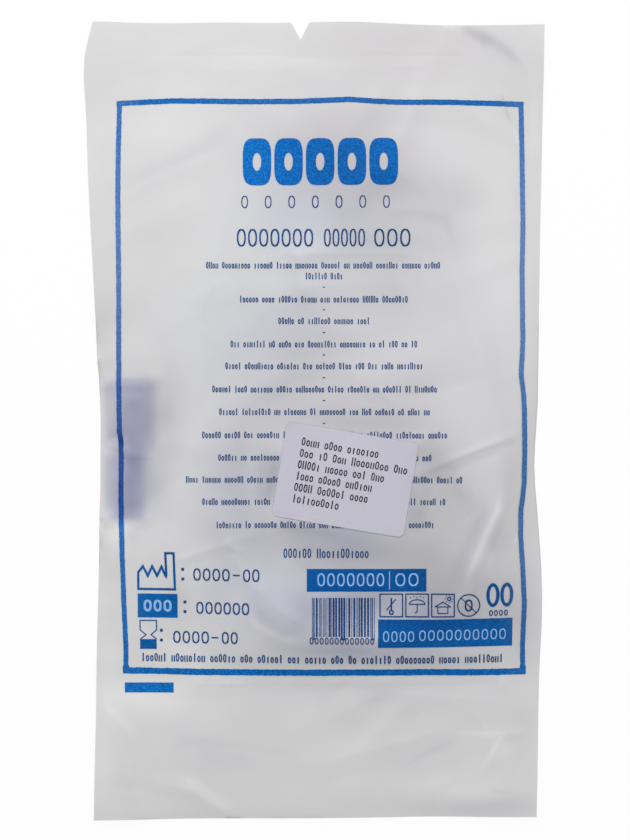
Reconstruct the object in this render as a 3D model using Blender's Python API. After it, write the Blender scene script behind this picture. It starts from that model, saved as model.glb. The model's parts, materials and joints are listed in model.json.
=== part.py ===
# Sealed film pack that holds a urine leg bag, its 45 cm tube and its two leg straps.
# Metres, +Z up. The pack lies on its back with the label upwards and its tear notch towards +Y.

import math

import bmesh
import bpy
import numpy as np
from mathutils import Matrix, Vector
from mathutils.bvhtree import BVHTree

# Gap kept between pieces that touch
CLEARANCE = 0.0003

# Film sleeve, a flat tube of film welded across at the bottom and just under its top edge
PACK_WIDTH = 0.1706
PACK_LENGTH = 0.2984
FILM = 0.00012
LAYER_GAP = 0.0003
WELD_GAP = 0.0001
WELD_WIDTH = 0.0016
WELD_BELOW_TOP = 0.0122
BOTTOM_WELD = 0.0060
BOTTOM_SLANT = 0.0010
FOLD_WALL = 0.0003
FOLD_STEP = 0.0015
FILM_SAG = 7.0
FILM_COLUMNS = 24
FILM_ROWS = 36

# Tear notch in the top edge
NOTCH_X = -0.0054
NOTCH_WIDTH = 0.0067
NOTCH_DEPTH = 0.0065
NOTCH_OVERCUT = 1.2

# How far the contents pull each side edge in: share of the length from the bottom, distance
LEFT_PULL = (
    (0.00, 0.0019), (0.16, 0.0029), (0.32, 0.0041), (0.46, 0.0048), (0.53, 0.0049),
    (0.61, 0.0036), (0.73, 0.0019), (0.88, 0.0002), (0.96, 0.0000), (1.00, 0.0030),
)
RIGHT_PULL = (
    (0.00, 0.0019), (0.17, 0.0010), (0.28, 0.0001), (0.38, 0.0017), (0.44, 0.0031),
    (0.53, 0.0019), (0.61, 0.0017), (0.73, 0.0015), (0.83, 0.0009), (1.00, 0.0004),
)

# Where the empty edges curl up: shares of the half width and half length, reach, height
CURLS = (
    (-0.97, 0.98, 0.032, 0.0030), (0.92, 0.97, 0.036, 0.0040), (0.12, 1.00, 0.045, 0.0014),
    (-0.95, -0.96, 0.036, 0.0022), (0.95, -0.93, 0.042, 0.0036), (0.05, -1.00, 0.050, 0.0016),
    (1.00, -0.42, 0.026, 0.0024), (1.00, 0.45, 0.026, 0.0014), (-1.00, 0.55, 0.030, 0.0016),
    (-1.00, -0.55, 0.026, 0.0020),
)

# Wrinkles that stand up from the front film: from, to, half width, height
WRINKLES = (
    ((0.0557, 0.1476), (0.0780, 0.1318), 0.009, 0.0010),
    ((0.0748, -0.0054), (0.0374, -0.0200), 0.010, 0.0009),
    ((-0.0243, -0.0432), (-0.0505, -0.0522), 0.010, 0.0009),
    ((0.0617, -0.1120), (0.0692, -0.1270), 0.010, 0.0012),
    ((-0.0468, -0.1214), (-0.0094, -0.1307), 0.012, 0.0011),
    ((-0.0056, -0.1307), (0.0468, -0.1176), 0.012, 0.0010),
    ((-0.0730, 0.0900), (-0.0374, 0.1050), 0.012, 0.0009),
    ((0.0767, -0.0520), (0.0690, -0.0670), 0.009, 0.0010),
)

# Paper label stuck on the front film
LABEL_WIDTH = 0.0495
LABEL_HEIGHT = 0.0355
LABEL_CORNER = 0.0022
LABEL_THICK = 0.00012
LABEL_X = 0.0112
LABEL_Y = -0.0201
LABEL_TURN = -9.5
LABEL_COLUMNS = 7
LABEL_ROWS = 5

# Leg bag, two walls of soft sheet welded round the edge, with its lower end folded up over it
BAG_X = 0.0130
BAG_TOP = 0.0635
BAG_FOLD = -0.0970
BAG_FLAP = 0.0585
BAG_WIDTH = 0.1120
BAG_WALL = 0.0003
BAG_TOP_NECK = 0.0420
BAG_END_NECK = 0.0500
BAG_SHOULDER = 0.0260
FOLD_RADIUS = 0.00045
BAG_COLUMNS = 12
SHOULDER_ROWS = 6
BODY_ROWS = 7
FOLD_ROWS = 4
SLOT_LENGTH = 0.0260
SLOT_WIDTH = 0.0040
SLOT_INSET = 0.0060
SLOT_BELOW_TOP = 0.0480
BULGE_MARGIN = 0.0050
BULGE_RUN = 0.0110

# Weld-in ports, boat shaped between the walls with a hollow spigot
BOAT_LENGTH = 0.0260
BOAT_THICK = 0.0070
BOAT_HEIGHT = 0.0110
BOAT_PROUD = 0.0020
SPIGOT_LENGTH = 0.0090
PORT_BORE = 0.0026

# Non-return valve, a flat film sleeve inside the bag under the inlet
VALVE_WIDTH = 0.0200
VALVE_LENGTH = 0.0380
VALVE_THICK = 0.0003
VALVE_TAPER = 0.0030

# Inlet tube
TUBE_OUTER = 0.0075
TUBE_BORE = 0.0050
TUBE_SIDES = 8
TUBE_STEPS = 56
TUBE_REACH = 0.75
PORT_POINTS = 4
END_POINTS = 2

# Stepped connector on the tube's free end, and its cap
FLANGE_RADIUS = 0.0048
FLANGE_LENGTH = 0.0040
CONE_LENGTH = 0.0270
CONE_WIDE = 0.0038
CONE_NARROW = 0.0027
CONNECTOR_BORE = 0.0026
CAP_RADIUS = 0.0048
CAP_END = 0.0012

# Drain tap, a body pushed on the outlet spigot with a cross slide through it
TAP_RADIUS = 0.0042
TAP_LENGTH = 0.0230
TAP_SLIDE_AT = 0.0160
TAP_SPOUT_BORE = 0.0030
SLIDE_RADIUS = 0.0020
SLIDE_LENGTH = 0.0300
KNOB_RADIUS = 0.0036
KNOB_LENGTH = 0.0030

# Elastic leg straps, each folded back and forth, with a button on top
STRAP_WIDTH = 0.0250
STRAP_THICK = 0.0006
STRAP_LAYERS = 14
STRAP_LAYER_GAP = 0.0001
STRAP_SIDE_ROOM = 0.0024
UPPER_FOLD_LENGTH = 0.0190
UPPER_STRAP_Y = 0.0045
LOWER_FOLD_LENGTH = 0.0145
LOWER_STRAP_Y = -0.0230
BUTTON_RADIUS = 0.0052
BUTTON_THICK = 0.0016

# How finely the round and folded pieces are drawn
BORE_SIDES = 10
SPIGOT_SIDES = 12
BOAT_STEPS = 6
CONNECTOR_SIDES = 12
TAP_SIDES = 16
SLIDE_SIDES = 12
BUTTON_SIDES = 14
STRAP_TURN_STEPS = 3
CURVE_STEPS = 12

# Rounds in which the film settles on the contents, and samples across each of its cells
SETTLING_ROUNDS = 700
CELL_SAMPLES = 9

# Places in a triangle where the label is compared with the film under it
TRIANGLE_SAMPLES = ((1 / 3, 1 / 3, 1 / 3), (0.5, 0.5, 0.0), (0.5, 0.0, 0.5), (0.0, 0.5, 0.5))

# Route of the inlet tube over the bag, as distances from the middle of the bag's top edge
TUBE_ROUTE = (
    (0.0000, 0.0023), (0.0000, 0.0080), (0.0000, 0.0140), (0.0016, 0.0210),
    (0.0060, 0.0267), (0.0125, 0.0297), (0.0195, 0.0294), (0.0258, 0.0260),
    (0.0303, 0.0195), (0.0335, 0.0100), (0.0370, -0.0020), (0.0415, -0.0160),
    (0.0460, -0.0310), (0.0500, -0.0460), (0.0530, -0.0610), (0.0548, -0.0760),
    (0.0550, -0.0910), (0.0533, -0.1050), (0.0490, -0.1175), (0.0420, -0.1280),
    (0.0325, -0.1356), (0.0215, -0.1404), (0.0095, -0.1424), (-0.0025, -0.1418),
    (-0.0140, -0.1384), (-0.0250, -0.1325), (-0.0345, -0.1240), (-0.0420, -0.1135),
    (-0.0470, -0.1015), (-0.0490, -0.0890), (-0.0480, -0.0765), (-0.0440, -0.0650),
    (-0.0375, -0.0550), (-0.0290, -0.0475), (-0.0190, -0.0432), (-0.0080, -0.0424),
    (0.0015, -0.0444), (0.0095, -0.0490), (0.0160, -0.0548), (0.0204, -0.0608),
    (0.0265, -0.0692),
)

# Heights of the stack, from the back film up
BACK_WALL_LOW = FILM + CLEARANCE
BACK_RADIUS_OUT = FOLD_RADIUS + 2 * BAG_WALL + CLEARANCE
BACK_RADIUS_IN = BACK_RADIUS_OUT - BAG_WALL
FRONT_RADIUS_OUT = FOLD_RADIUS + BAG_WALL
FRONT_RADIUS_IN = FOLD_RADIUS
FOLD_Z = BACK_WALL_LOW + BACK_RADIUS_OUT
INLET_Z = FOLD_Z - BACK_RADIUS_IN + CLEARANCE + BOAT_THICK / 2
OUTLET_Z = FOLD_Z + FRONT_RADIUS_OUT + CLEARANCE + BOAT_THICK / 2
FLAP_END = BAG_FOLD + BAG_FLAP
SPIGOT_RADIUS = TUBE_BORE / 2 * math.cos(math.pi / TUBE_SIDES) - CLEARANCE
BULGE_HEIGHT = BOAT_THICK + CLEARANCE
INLET_BOAT_LOW = BAG_TOP + BOAT_PROUD - BOAT_HEIGHT
OUTLET_BOAT_LOW = FLAP_END + BOAT_PROUD - BOAT_HEIGHT
VALVE_TOP_Y = INLET_BOAT_LOW - CLEARANCE


def clear_scene():
    """Remove whatever the scene holds."""
    for old in list(bpy.data.objects):
        bpy.data.objects.remove(old, do_unlink=True)


def finish(name, colour, roughness):
    """A plain Principled material for one piece."""
    material = bpy.data.materials.new(name + "_finish")
    material.use_nodes = True
    shader = material.node_tree.nodes["Principled BSDF"]
    shader.inputs["Base Color"].default_value = (*colour, 1.0)
    shader.inputs["Roughness"].default_value = roughness
    shader.inputs["Metallic"].default_value = 0.0
    return material


def add_piece(name, shape, colour, roughness, smooth_angle=None):
    """Turn a bmesh into a named object with its own material."""
    bmesh.ops.recalc_face_normals(shape, faces=shape.faces[:])
    mesh = bpy.data.meshes.new(name)
    shape.to_mesh(mesh)
    shape.free()
    if smooth_angle is not None:
        mesh.shade_smooth()
        mesh.set_sharp_from_angle(angle=math.radians(smooth_angle))
    piece = bpy.data.objects.new(name, mesh)
    bpy.context.collection.objects.link(piece)
    mesh.materials.append(finish(name, colour, roughness))
    return piece


def add_helper(name, shape):
    """A cutter or a joined-on block, which isn't a piece of its own."""
    helper = add_piece(name, shape, (0.5, 0.5, 0.5), 0.5)
    helper.hide_render = True
    helper.display_type = "WIRE"
    return helper


def combine(piece, helper, operation):
    """Boolean of a piece with a helper."""
    step = piece.modifiers.new(helper.name, "BOOLEAN")
    step.operation = operation
    step.solver = "EXACT"
    step.object = helper


def eased(points, at):
    """Value on a smooth curve through (place, value) points."""
    places, values = np.array(points).T
    slopes = np.gradient(values, places)
    k = int(np.clip(np.searchsorted(places, at) - 1, 0, len(places) - 2))
    span = places[k + 1] - places[k]
    t = (at - places[k]) / span
    start = (1 + 2 * t) * (1 - t) ** 2 * values[k] + t * (1 - t) ** 2 * span * slopes[k]
    end = t * t * (3 - 2 * t) * values[k + 1] + t * t * (t - 1) * span * slopes[k + 1]
    return start + end


def soft_bump(distance, reach):
    """One at no distance, nought from the reach on, with no edge."""
    share = np.clip(np.asarray(distance) / reach, 0.0, 1.0)
    return (1 - share ** 2) ** 2


def plateau(distance, flat, run):
    """One over the flat part, then a smooth fall to nought along the run."""
    share = min(max((abs(distance) - flat) / run, 0.0), 1.0)
    return 0.5 + 0.5 * math.cos(math.pi * share)


def surface_tree(pieces):
    """One search tree over the finished surfaces of several pieces."""
    bpy.context.view_layer.update()
    depsgraph = bpy.context.evaluated_depsgraph_get()
    points = []
    faces = []
    for piece in pieces:
        solid = piece.evaluated_get(depsgraph)
        mesh = solid.to_mesh()
        first = len(points)
        points.extend(piece.matrix_world @ vertex.co for vertex in mesh.vertices)
        faces.extend([first + index for index in face.vertices] for face in mesh.polygons)
        solid.to_mesh_clear()
    return BVHTree.FromPolygons(points, faces)


def top_at(tree, x, y, missing):
    """Height of the highest surface over a point."""
    hit = tree.ray_cast(Vector((x, y, 1.0)), Vector((0.0, 0.0, -1.0)))[0]
    return missing if hit is None else hit.z


def bottom_at(tree, x, y, missing):
    """Height of the lowest surface over a point."""
    hit = tree.ray_cast(Vector((x, y, -1.0)), Vector((0.0, 0.0, 1.0)))[0]
    return missing if hit is None else hit.z


def turned(name, profile, place, direction, sides, colour, roughness):
    """A closed profile of (along, radius) points spun round its axis and laid along a direction."""
    shape = bmesh.new()
    corners = [shape.verts.new((radius, 0.0, along)) for along, radius in profile]
    edges = [shape.edges.new((a, b)) for a, b in zip(corners, corners[1:] + corners[:1])]
    bmesh.ops.spin(
        shape, geom=corners + edges, cent=(0, 0, 0), axis=(0, 0, 1), dvec=(0, 0, 0),
        angle=math.tau, steps=sides, use_merge=True, use_duplicate=False,
    )
    bmesh.ops.remove_doubles(shape, verts=shape.verts[:], dist=0.000001)
    bmesh.ops.dissolve_degenerate(shape, edges=shape.edges[:], dist=0.000001)
    turn = Vector(direction).to_track_quat("Z", "Y").to_matrix().to_4x4()
    bmesh.ops.transform(shape, matrix=Matrix.Translation(place) @ turn, verts=shape.verts[:])
    return add_piece(name, shape, colour, roughness, smooth_angle=40)


def rod(place, direction, radius, length, sides):
    """A plain closed cylinder as a bmesh, from a point along a direction."""
    shape = bmesh.new()
    bmesh.ops.create_cone(
        shape, cap_ends=True, segments=sides, radius1=radius, radius2=radius, depth=length,
    )
    turn = Vector(direction).to_track_quat("Z", "Y").to_matrix().to_4x4()
    middle = Vector(place) + Vector(direction).normalized() * (length / 2)
    bmesh.ops.transform(shape, matrix=Matrix.Translation(middle) @ turn, verts=shape.verts[:])
    return shape


def sheet_solid(upper, lower):
    """A closed sheet between two grids of points of the same size."""
    shape = bmesh.new()
    top = [[shape.verts.new(point) for point in row] for row in upper]
    low = [[shape.verts.new(point) for point in row] for row in lower]
    rows = len(top)
    columns = len(top[0])
    for j in range(rows - 1):
        for i in range(columns - 1):
            shape.faces.new((top[j][i], top[j][i + 1], top[j + 1][i + 1], top[j + 1][i]))
            shape.faces.new((low[j][i], low[j + 1][i], low[j + 1][i + 1], low[j][i + 1]))
    rim = [(0, i) for i in range(columns)]
    rim += [(j, columns - 1) for j in range(1, rows)]
    rim += [(rows - 1, i) for i in range(columns - 2, -1, -1)]
    rim += [(j, 0) for j in range(rows - 2, 0, -1)]
    for (j, i), (m, n) in zip(rim, rim[1:] + rim[:1]):
        shape.faces.new((top[j][i], low[j][i], low[m][n], top[m][n]))
    return shape


def flatten_faces(shape):
    """Merge the faces that lie in one plane."""
    shape.normal_update()
    bmesh.ops.dissolve_limit(
        shape, angle_limit=0.0005, use_dissolve_boundaries=False,
        verts=shape.verts[:], edges=shape.edges[:],
    )


# Leg bag

def shoulder_half(neck, share):
    """Half width across a rounded shoulder, from the body at nought to the neck at one."""
    return neck / 2 + (BAG_WIDTH - neck) / 2 * math.sqrt(max(1 - share * share, 0.0))


def bag_rows():
    """Rows down the bag: place along it, turn of the fold, half width."""
    rows = []
    for k in range(SHOULDER_ROWS, 0, -1):
        share = math.sin(math.pi / 2 * k / SHOULDER_ROWS)
        half = shoulder_half(BAG_TOP_NECK, share)
        rows.append((BAG_TOP - BAG_SHOULDER * (1 - share), 0.0, half))
    for k in range(BODY_ROWS):
        y = BAG_TOP - BAG_SHOULDER + (BAG_FOLD - BAG_TOP + BAG_SHOULDER) * k / BODY_ROWS
        rows.append((y, 0.0, BAG_WIDTH / 2))
    for k in range(FOLD_ROWS + 1):
        rows.append((BAG_FOLD, math.pi * k / FOLD_ROWS, BAG_WIDTH / 2))
    flap_body = FLAP_END - BAG_SHOULDER
    rows.append(((BAG_FOLD + flap_body) / 2, math.pi, BAG_WIDTH / 2))
    for k in range(SHOULDER_ROWS + 1):
        share = math.sin(math.pi / 2 * k / SHOULDER_ROWS)
        half = shoulder_half(BAG_END_NECK, share)
        rows.append((flap_body + BAG_SHOULDER * share, math.pi, half))
    return rows


def over_port(x, y, boat_low, boat_high):
    """Share of the bulge that a wall makes over a port at this point."""
    across = plateau(x - BAG_X, BOAT_LENGTH / 2 + BULGE_MARGIN, BULGE_RUN)
    middle = (boat_low + boat_high) / 2
    along = plateau(y - middle, BOAT_HEIGHT / 2 + BULGE_MARGIN, BULGE_RUN)
    return across * along


def over_valve(x, y):
    """Share of the lift that the front wall makes over the valve."""
    across = plateau(x - BAG_X, VALVE_WIDTH / 2 + 2 * BULGE_MARGIN, BULGE_RUN)
    middle = VALVE_TOP_Y - VALVE_LENGTH / 2
    along = plateau(y - middle, VALVE_LENGTH / 2 + 2 * BULGE_MARGIN, 2 * BULGE_RUN)
    return across * along


def wall_point(x, y, turn, radius, on_front):
    """A point of a bag wall: on the flat body, round the fold or on the flap."""
    place_y = y - radius * math.sin(turn)
    place_z = FOLD_Z - radius * math.cos(turn)
    if turn == 0.0 and on_front:
        port = BULGE_HEIGHT * over_port(x, y, INLET_BOAT_LOW, INLET_BOAT_LOW + BOAT_HEIGHT)
        valve = (VALVE_THICK + CLEARANCE) * over_valve(x, y)
        place_z += max(port, valve)
    if turn == math.pi and not on_front:
        place_z += BULGE_HEIGHT * over_port(x, y, OUTLET_BOAT_LOW, OUTLET_BOAT_LOW + BOAT_HEIGHT)
    return (x, place_y, place_z)


def wall_grid(radius, on_front):
    """All the points of one side of a bag wall."""
    grid = []
    for y, turn, half in bag_rows():
        row = []
        for i in range(BAG_COLUMNS + 1):
            x = BAG_X + half * (2 * i / BAG_COLUMNS - 1)
            row.append(wall_point(x, y, turn, radius, on_front))
        grid.append(row)
    return grid


def strap_slots():
    """Cutters for the slots that the upper leg strap threads through."""
    cutters = []
    for side in (-1, 1):
        shape = bmesh.new()
        bmesh.ops.create_cube(shape, size=1.0)
        x = BAG_X + side * (BAG_WIDTH / 2 - SLOT_INSET - SLOT_WIDTH / 2)
        size = Matrix.Diagonal((SLOT_WIDTH, SLOT_LENGTH, 2 * FOLD_Z, 1.0))
        middle = Matrix.Translation((x, BAG_TOP - SLOT_BELOW_TOP, FOLD_Z - FRONT_RADIUS_OUT))
        bmesh.ops.transform(shape, matrix=middle @ size, verts=shape.verts[:])
        cutters.append(add_helper(f"slot_cutter_{'left' if side < 0 else 'right'}", shape))
    return cutters


def make_bag():
    """Back and front wall, welded round the edge and folded together near the outlet."""
    back_shape = sheet_solid(
        wall_grid(BACK_RADIUS_IN, False), wall_grid(BACK_RADIUS_OUT, False),
    )
    front_shape = sheet_solid(
        wall_grid(FRONT_RADIUS_IN, True), wall_grid(FRONT_RADIUS_OUT, True),
    )
    for shape in (back_shape, front_shape):
        flatten_faces(shape)
    back = add_piece("bag_back_wall", back_shape, (0.80, 0.82, 0.84), 0.35)
    front = add_piece("bag_front_wall", front_shape, (0.80, 0.82, 0.84), 0.35)
    for cutter in strap_slots():
        combine(back, cutter, "DIFFERENCE")
        combine(front, cutter, "DIFFERENCE")
    return [back, front]


def boat_shape(low_y, z):
    """A pointed oval block that the two walls are welded to."""
    shape = bmesh.new()
    outline = []
    for side in (1, -1):
        for k in range(BOAT_STEPS):
            share = 1 - 2 * k / BOAT_STEPS
            across = side * BOAT_LENGTH / 2 * share
            height = side * BOAT_THICK / 2 * (1 - share ** 2)
            outline.append(shape.verts.new((BAG_X + across, low_y, z + height)))
    face = shape.faces.new(outline)
    grown = bmesh.ops.extrude_face_region(shape, geom=[face])
    moved = [item for item in grown["geom"] if isinstance(item, bmesh.types.BMVert)]
    bmesh.ops.translate(shape, vec=(0.0, BOAT_HEIGHT, 0.0), verts=moved)
    return shape


def make_port(name, low_y, z):
    """Boat, spigot towards +Y and one bore right through both."""
    port = add_piece(name, boat_shape(low_y, z), (0.86, 0.88, 0.90), 0.4)
    start = (BAG_X, low_y + BOAT_HEIGHT / 2, z)
    length = BOAT_HEIGHT / 2 + SPIGOT_LENGTH
    spigot = rod(start, (0, 1, 0), SPIGOT_RADIUS, length, SPIGOT_SIDES)
    bore_start = (BAG_X, low_y - CLEARANCE, z)
    bore_length = BOAT_HEIGHT + SPIGOT_LENGTH + 2 * CLEARANCE
    bore = rod(bore_start, (0, 1, 0), PORT_BORE / 2, bore_length, BORE_SIDES)
    combine(port, add_helper(name + "_spigot", spigot), "UNION")
    combine(port, add_helper(name + "_bore", bore), "DIFFERENCE")
    return port


def make_valve():
    """Flat sleeve that lets urine down into the bag and closes when it is pressed back."""
    z = FOLD_Z - BACK_RADIUS_IN + CLEARANCE
    upper = []
    lower = []
    for share in (0.0, 0.5, 1.0):
        half = VALVE_WIDTH / 2 - VALVE_TAPER * (1 - share)
        y = VALVE_TOP_Y - VALVE_LENGTH * (1 - share)
        upper.append([(BAG_X - half, y, z + VALVE_THICK), (BAG_X + half, y, z + VALVE_THICK)])
        lower.append([(BAG_X - half, y, z), (BAG_X + half, y, z)])
    shape = sheet_solid(upper, lower)
    return add_piece("non_return_valve", shape, (0.75, 0.80, 0.86), 0.35)


# Inlet tube

def tube_centres(bag):
    """The route's points with their heights, each just clear of what lies under the tube."""
    tree = surface_tree(bag)
    centres = []
    last = len(TUBE_ROUTE) - 1
    samples = [share * TUBE_OUTER * TUBE_REACH for share in (-1.0, -0.5, 0.0, 0.5, 1.0)]
    for k, (across, along) in enumerate(TUBE_ROUTE):
        x = BAG_X + across
        y = BAG_TOP + along
        radius = FLANGE_RADIUS if k >= last - END_POINTS else TUBE_OUTER / 2
        under = max(top_at(tree, x + a, y + b, FILM) for a in samples for b in samples)
        height = INLET_Z if k < PORT_POINTS else max(INLET_Z, under + CLEARANCE + radius)
        centres.append(Vector((x, y, height)))
    for k in range(last - END_POINTS, last):
        centres[k].z = centres[last].z
    return centres


def smooth_route(points, steps):
    """Evenly spaced points on a smooth curve through the route's points."""
    fine = []
    padded = [2 * points[0] - points[1]] + points + [2 * points[-1] - points[-2]]
    for a, b, c, d in zip(padded, padded[1:], padded[2:], padded[3:]):
        for t in (k / CURVE_STEPS for k in range(CURVE_STEPS)):
            pull = -a + 3 * b - 3 * c + d
            fine.append(b + 0.5 * t * (c - a + t * (2 * a - 5 * b + 4 * c - d + t * pull)))
    fine.append(points[-1])
    walked = np.cumsum([0.0] + [(q - p).length for p, q in zip(fine, fine[1:])])
    wanted = np.linspace(0.0, walked[-1], steps)
    columns = [np.interp(wanted, walked, [point[axis] for point in fine]) for axis in range(3)]
    return [Vector(point) for point in zip(*columns)]


def make_tube(bag):
    """Hollow tube swept along its route."""
    points = smooth_route(tube_centres(bag), TUBE_STEPS)
    shape = bmesh.new()
    rings = []
    for k, point in enumerate(points):
        along = (points[min(k + 1, TUBE_STEPS - 1)] - points[max(k - 1, 0)]).normalized()
        side = along.cross(Vector((0, 0, 1))).normalized()
        lift = side.cross(along)
        for radius in (TUBE_OUTER / 2, TUBE_BORE / 2):
            angles = [math.tau * n / TUBE_SIDES for n in range(TUBE_SIDES)]
            ring = [point + radius * (math.cos(a) * side + math.sin(a) * lift) for a in angles]
            rings.append([shape.verts.new(corner) for corner in ring])
    outer = rings[0::2]
    inner = rings[1::2]
    joined = list(zip(outer, outer[1:])) + list(zip(inner, inner[1:]))
    joined += [(outer[0], inner[0]), (outer[-1], inner[-1])]
    for first, second in joined:
        for n in range(TUBE_SIDES):
            m = (n + 1) % TUBE_SIDES
            shape.faces.new((first[n], first[m], second[m], second[n]))
    tube = add_piece("inlet_tube", shape, (0.78, 0.80, 0.84), 0.3, smooth_angle=60)
    return tube, points[-1], (points[-1] - points[-3]).normalized()


def make_connector(end, direction):
    """Stepped connector in the tube's end, hollow, with a flange against the tube."""
    flange_end = CLEARANCE + FLANGE_LENGTH
    step = CONE_LENGTH / 3
    middle_radius = (CONE_WIDE + CONE_NARROW) / 2
    bore = CONNECTOR_BORE / 2
    profile = [
        (-SPIGOT_LENGTH, bore), (-SPIGOT_LENGTH, SPIGOT_RADIUS), (CLEARANCE, SPIGOT_RADIUS),
        (CLEARANCE, FLANGE_RADIUS), (flange_end, FLANGE_RADIUS), (flange_end, CONE_WIDE),
        (flange_end + step, CONE_WIDE), (flange_end + step, middle_radius),
        (flange_end + 2 * step, middle_radius), (flange_end + 2 * step, CONE_NARROW),
        (flange_end + 3 * step, CONE_NARROW), (flange_end + 3 * step, bore),
    ]
    colour = (0.85, 0.87, 0.92)
    return turned("tube_connector", profile, end, direction, CONNECTOR_SIDES, colour, 0.35)


def make_cap(end, direction):
    """Closed cap over the connector's cone."""
    mouth = 2 * CLEARANCE + FLANGE_LENGTH
    inner_end = CLEARANCE + FLANGE_LENGTH + CONE_LENGTH + CLEARANCE
    inner = CONE_WIDE + CLEARANCE
    profile = [
        (inner_end, 0.0), (inner_end, inner), (mouth, inner), (mouth, CAP_RADIUS),
        (inner_end + CAP_END, CAP_RADIUS), (inner_end + CAP_END, 0.0),
    ]
    colour = (0.80, 0.86, 0.90)
    return turned("connector_cap", profile, end, direction, CONNECTOR_SIDES, colour, 0.4)


# Drain tap

def make_tap():
    """Tap body on the outlet spigot, and the slide through it that opens and shuts it."""
    start = OUTLET_BOAT_LOW + BOAT_HEIGHT + CLEARANCE
    socket = SPIGOT_LENGTH
    body_profile = [
        (0.0, SPIGOT_RADIUS + CLEARANCE), (0.0, TAP_RADIUS), (TAP_LENGTH, TAP_RADIUS),
        (TAP_LENGTH, TAP_SPOUT_BORE / 2), (socket, TAP_SPOUT_BORE / 2),
        (socket, SPIGOT_RADIUS + CLEARANCE),
    ]
    place = (BAG_X, start, OUTLET_Z)
    colour = (0.86, 0.88, 0.90)
    body = turned("tap_body", body_profile, place, (0, 1, 0), TAP_SIDES, colour, 0.4)
    cross_y = start + TAP_SLIDE_AT
    cross = (BAG_X - SLIDE_LENGTH / 2, cross_y, OUTLET_Z)
    hole = rod(cross, (1, 0, 0), SLIDE_RADIUS + CLEARANCE, SLIDE_LENGTH, SLIDE_SIDES)
    combine(body, add_helper("tap_cross_hole", hole), "DIFFERENCE")
    slide_profile = [
        (0.0, 0.0), (0.0, KNOB_RADIUS), (KNOB_LENGTH, KNOB_RADIUS), (KNOB_LENGTH, SLIDE_RADIUS),
        (SLIDE_LENGTH - KNOB_LENGTH, SLIDE_RADIUS), (SLIDE_LENGTH - KNOB_LENGTH, KNOB_RADIUS),
        (SLIDE_LENGTH, KNOB_RADIUS), (SLIDE_LENGTH, 0.0),
    ]
    colour = (0.62, 0.72, 0.86)
    slide = turned("tap_slide", slide_profile, cross, (1, 0, 0), SLIDE_SIDES, colour, 0.4)
    return [body, slide]


# Leg straps

def strap_path(left, length):
    """Middle line of a strap folded back and forth, in X and Z."""
    pitch = STRAP_THICK + STRAP_LAYER_GAP
    low = FILM + CLEARANCE + STRAP_THICK / 2
    inset = pitch / 2 + STRAP_THICK / 2
    ends = (left + inset, left + length - inset)
    path = [(ends[0], low)]
    for layer in range(STRAP_LAYERS):
        x = ends[1] if layer % 2 == 0 else ends[0]
        outward = 1 if layer % 2 == 0 else -1
        z = low + layer * pitch
        if layer == STRAP_LAYERS - 1:
            path.append((x, z))
            break
        for k in range(STRAP_TURN_STEPS + 1):
            angle = math.pi * k / STRAP_TURN_STEPS
            over = pitch / 2 * math.sin(angle)
            path.append((x + outward * over, z + pitch / 2 * (1 - math.cos(angle))))
    return path


def make_strap(name, left, length, middle_y):
    """A folded strap, its band's width across the pack's length."""
    path = [np.array(point) for point in strap_path(left, length)]
    low_y = middle_y - STRAP_WIDTH / 2
    upper = []
    lower = []
    for k, point in enumerate(path):
        along = path[min(k + 1, len(path) - 1)] - path[max(k - 1, 0)]
        normal = np.array((-along[1], along[0])) / np.linalg.norm(along) * STRAP_THICK / 2
        above = point + normal
        below = point - normal
        upper.append([(above[0], low_y, above[1]), (above[0], low_y + STRAP_WIDTH, above[1])])
        lower.append([(below[0], low_y, below[1]), (below[0], low_y + STRAP_WIDTH, below[1])])
    shape = sheet_solid(upper, lower)
    return add_piece(name, shape, (0.25, 0.28, 0.52), 0.8)


def make_straps():
    """Both straps against the left side of the pack, each with its button."""
    pieces = []
    places = (
        ("upper", UPPER_STRAP_Y, UPPER_FOLD_LENGTH), ("lower", LOWER_STRAP_Y, LOWER_FOLD_LENGTH),
    )
    stack = STRAP_LAYERS * STRAP_THICK + (STRAP_LAYERS - 1) * STRAP_LAYER_GAP
    for word, middle_y, length in places:
        stations = (middle_y - STRAP_WIDTH / 2, middle_y, middle_y + STRAP_WIDTH / 2)
        left = max(side_edges(y)[0] for y in stations) + STRAP_SIDE_ROOM
        pieces.append(make_strap(f"strap_{word}", left, length, middle_y))
        profile = [
            (0.0, 0.0), (0.0, BUTTON_RADIUS), (BUTTON_THICK / 2, BUTTON_RADIUS),
            (BUTTON_THICK, BUTTON_RADIUS - BUTTON_THICK / 2), (BUTTON_THICK, 0.0),
        ]
        place = (left + length / 2, middle_y, FILM + stack + 2 * CLEARANCE)
        colour = (0.20, 0.22, 0.42)
        name = f"strap_button_{word}"
        pieces.append(turned(name, profile, place, (0, 0, 1), BUTTON_SIDES, colour, 0.4))
    return pieces


# Film sleeve

def side_edges(y):
    """Left and right edge of the film at a place along the pack."""
    share = y / PACK_LENGTH + 0.5
    left = -PACK_WIDTH / 2 + eased(LEFT_PULL, share)
    right = PACK_WIDTH / 2 - eased(RIGHT_PULL, share)
    return left, right


def film_row_places():
    """Places of the film's rows along the pack, closer at the welds."""
    low = -PACK_LENGTH / 2
    high = PACK_LENGTH / 2
    weld = high - WELD_BELOW_TOP
    body = np.linspace(low + BOTTOM_WELD, weld - WELD_WIDTH / 2, FILM_ROWS)
    top = [weld, weld + WELD_WIDTH / 2, (weld + WELD_WIDTH / 2 + high) / 2, high]
    return [low] + list(body) + top


def film_columns(y):
    """Places of the film's columns across the pack at one row."""
    left, right = side_edges(y)
    return np.linspace(left + FOLD_STEP, right - FOLD_STEP, FILM_COLUMNS)


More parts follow.
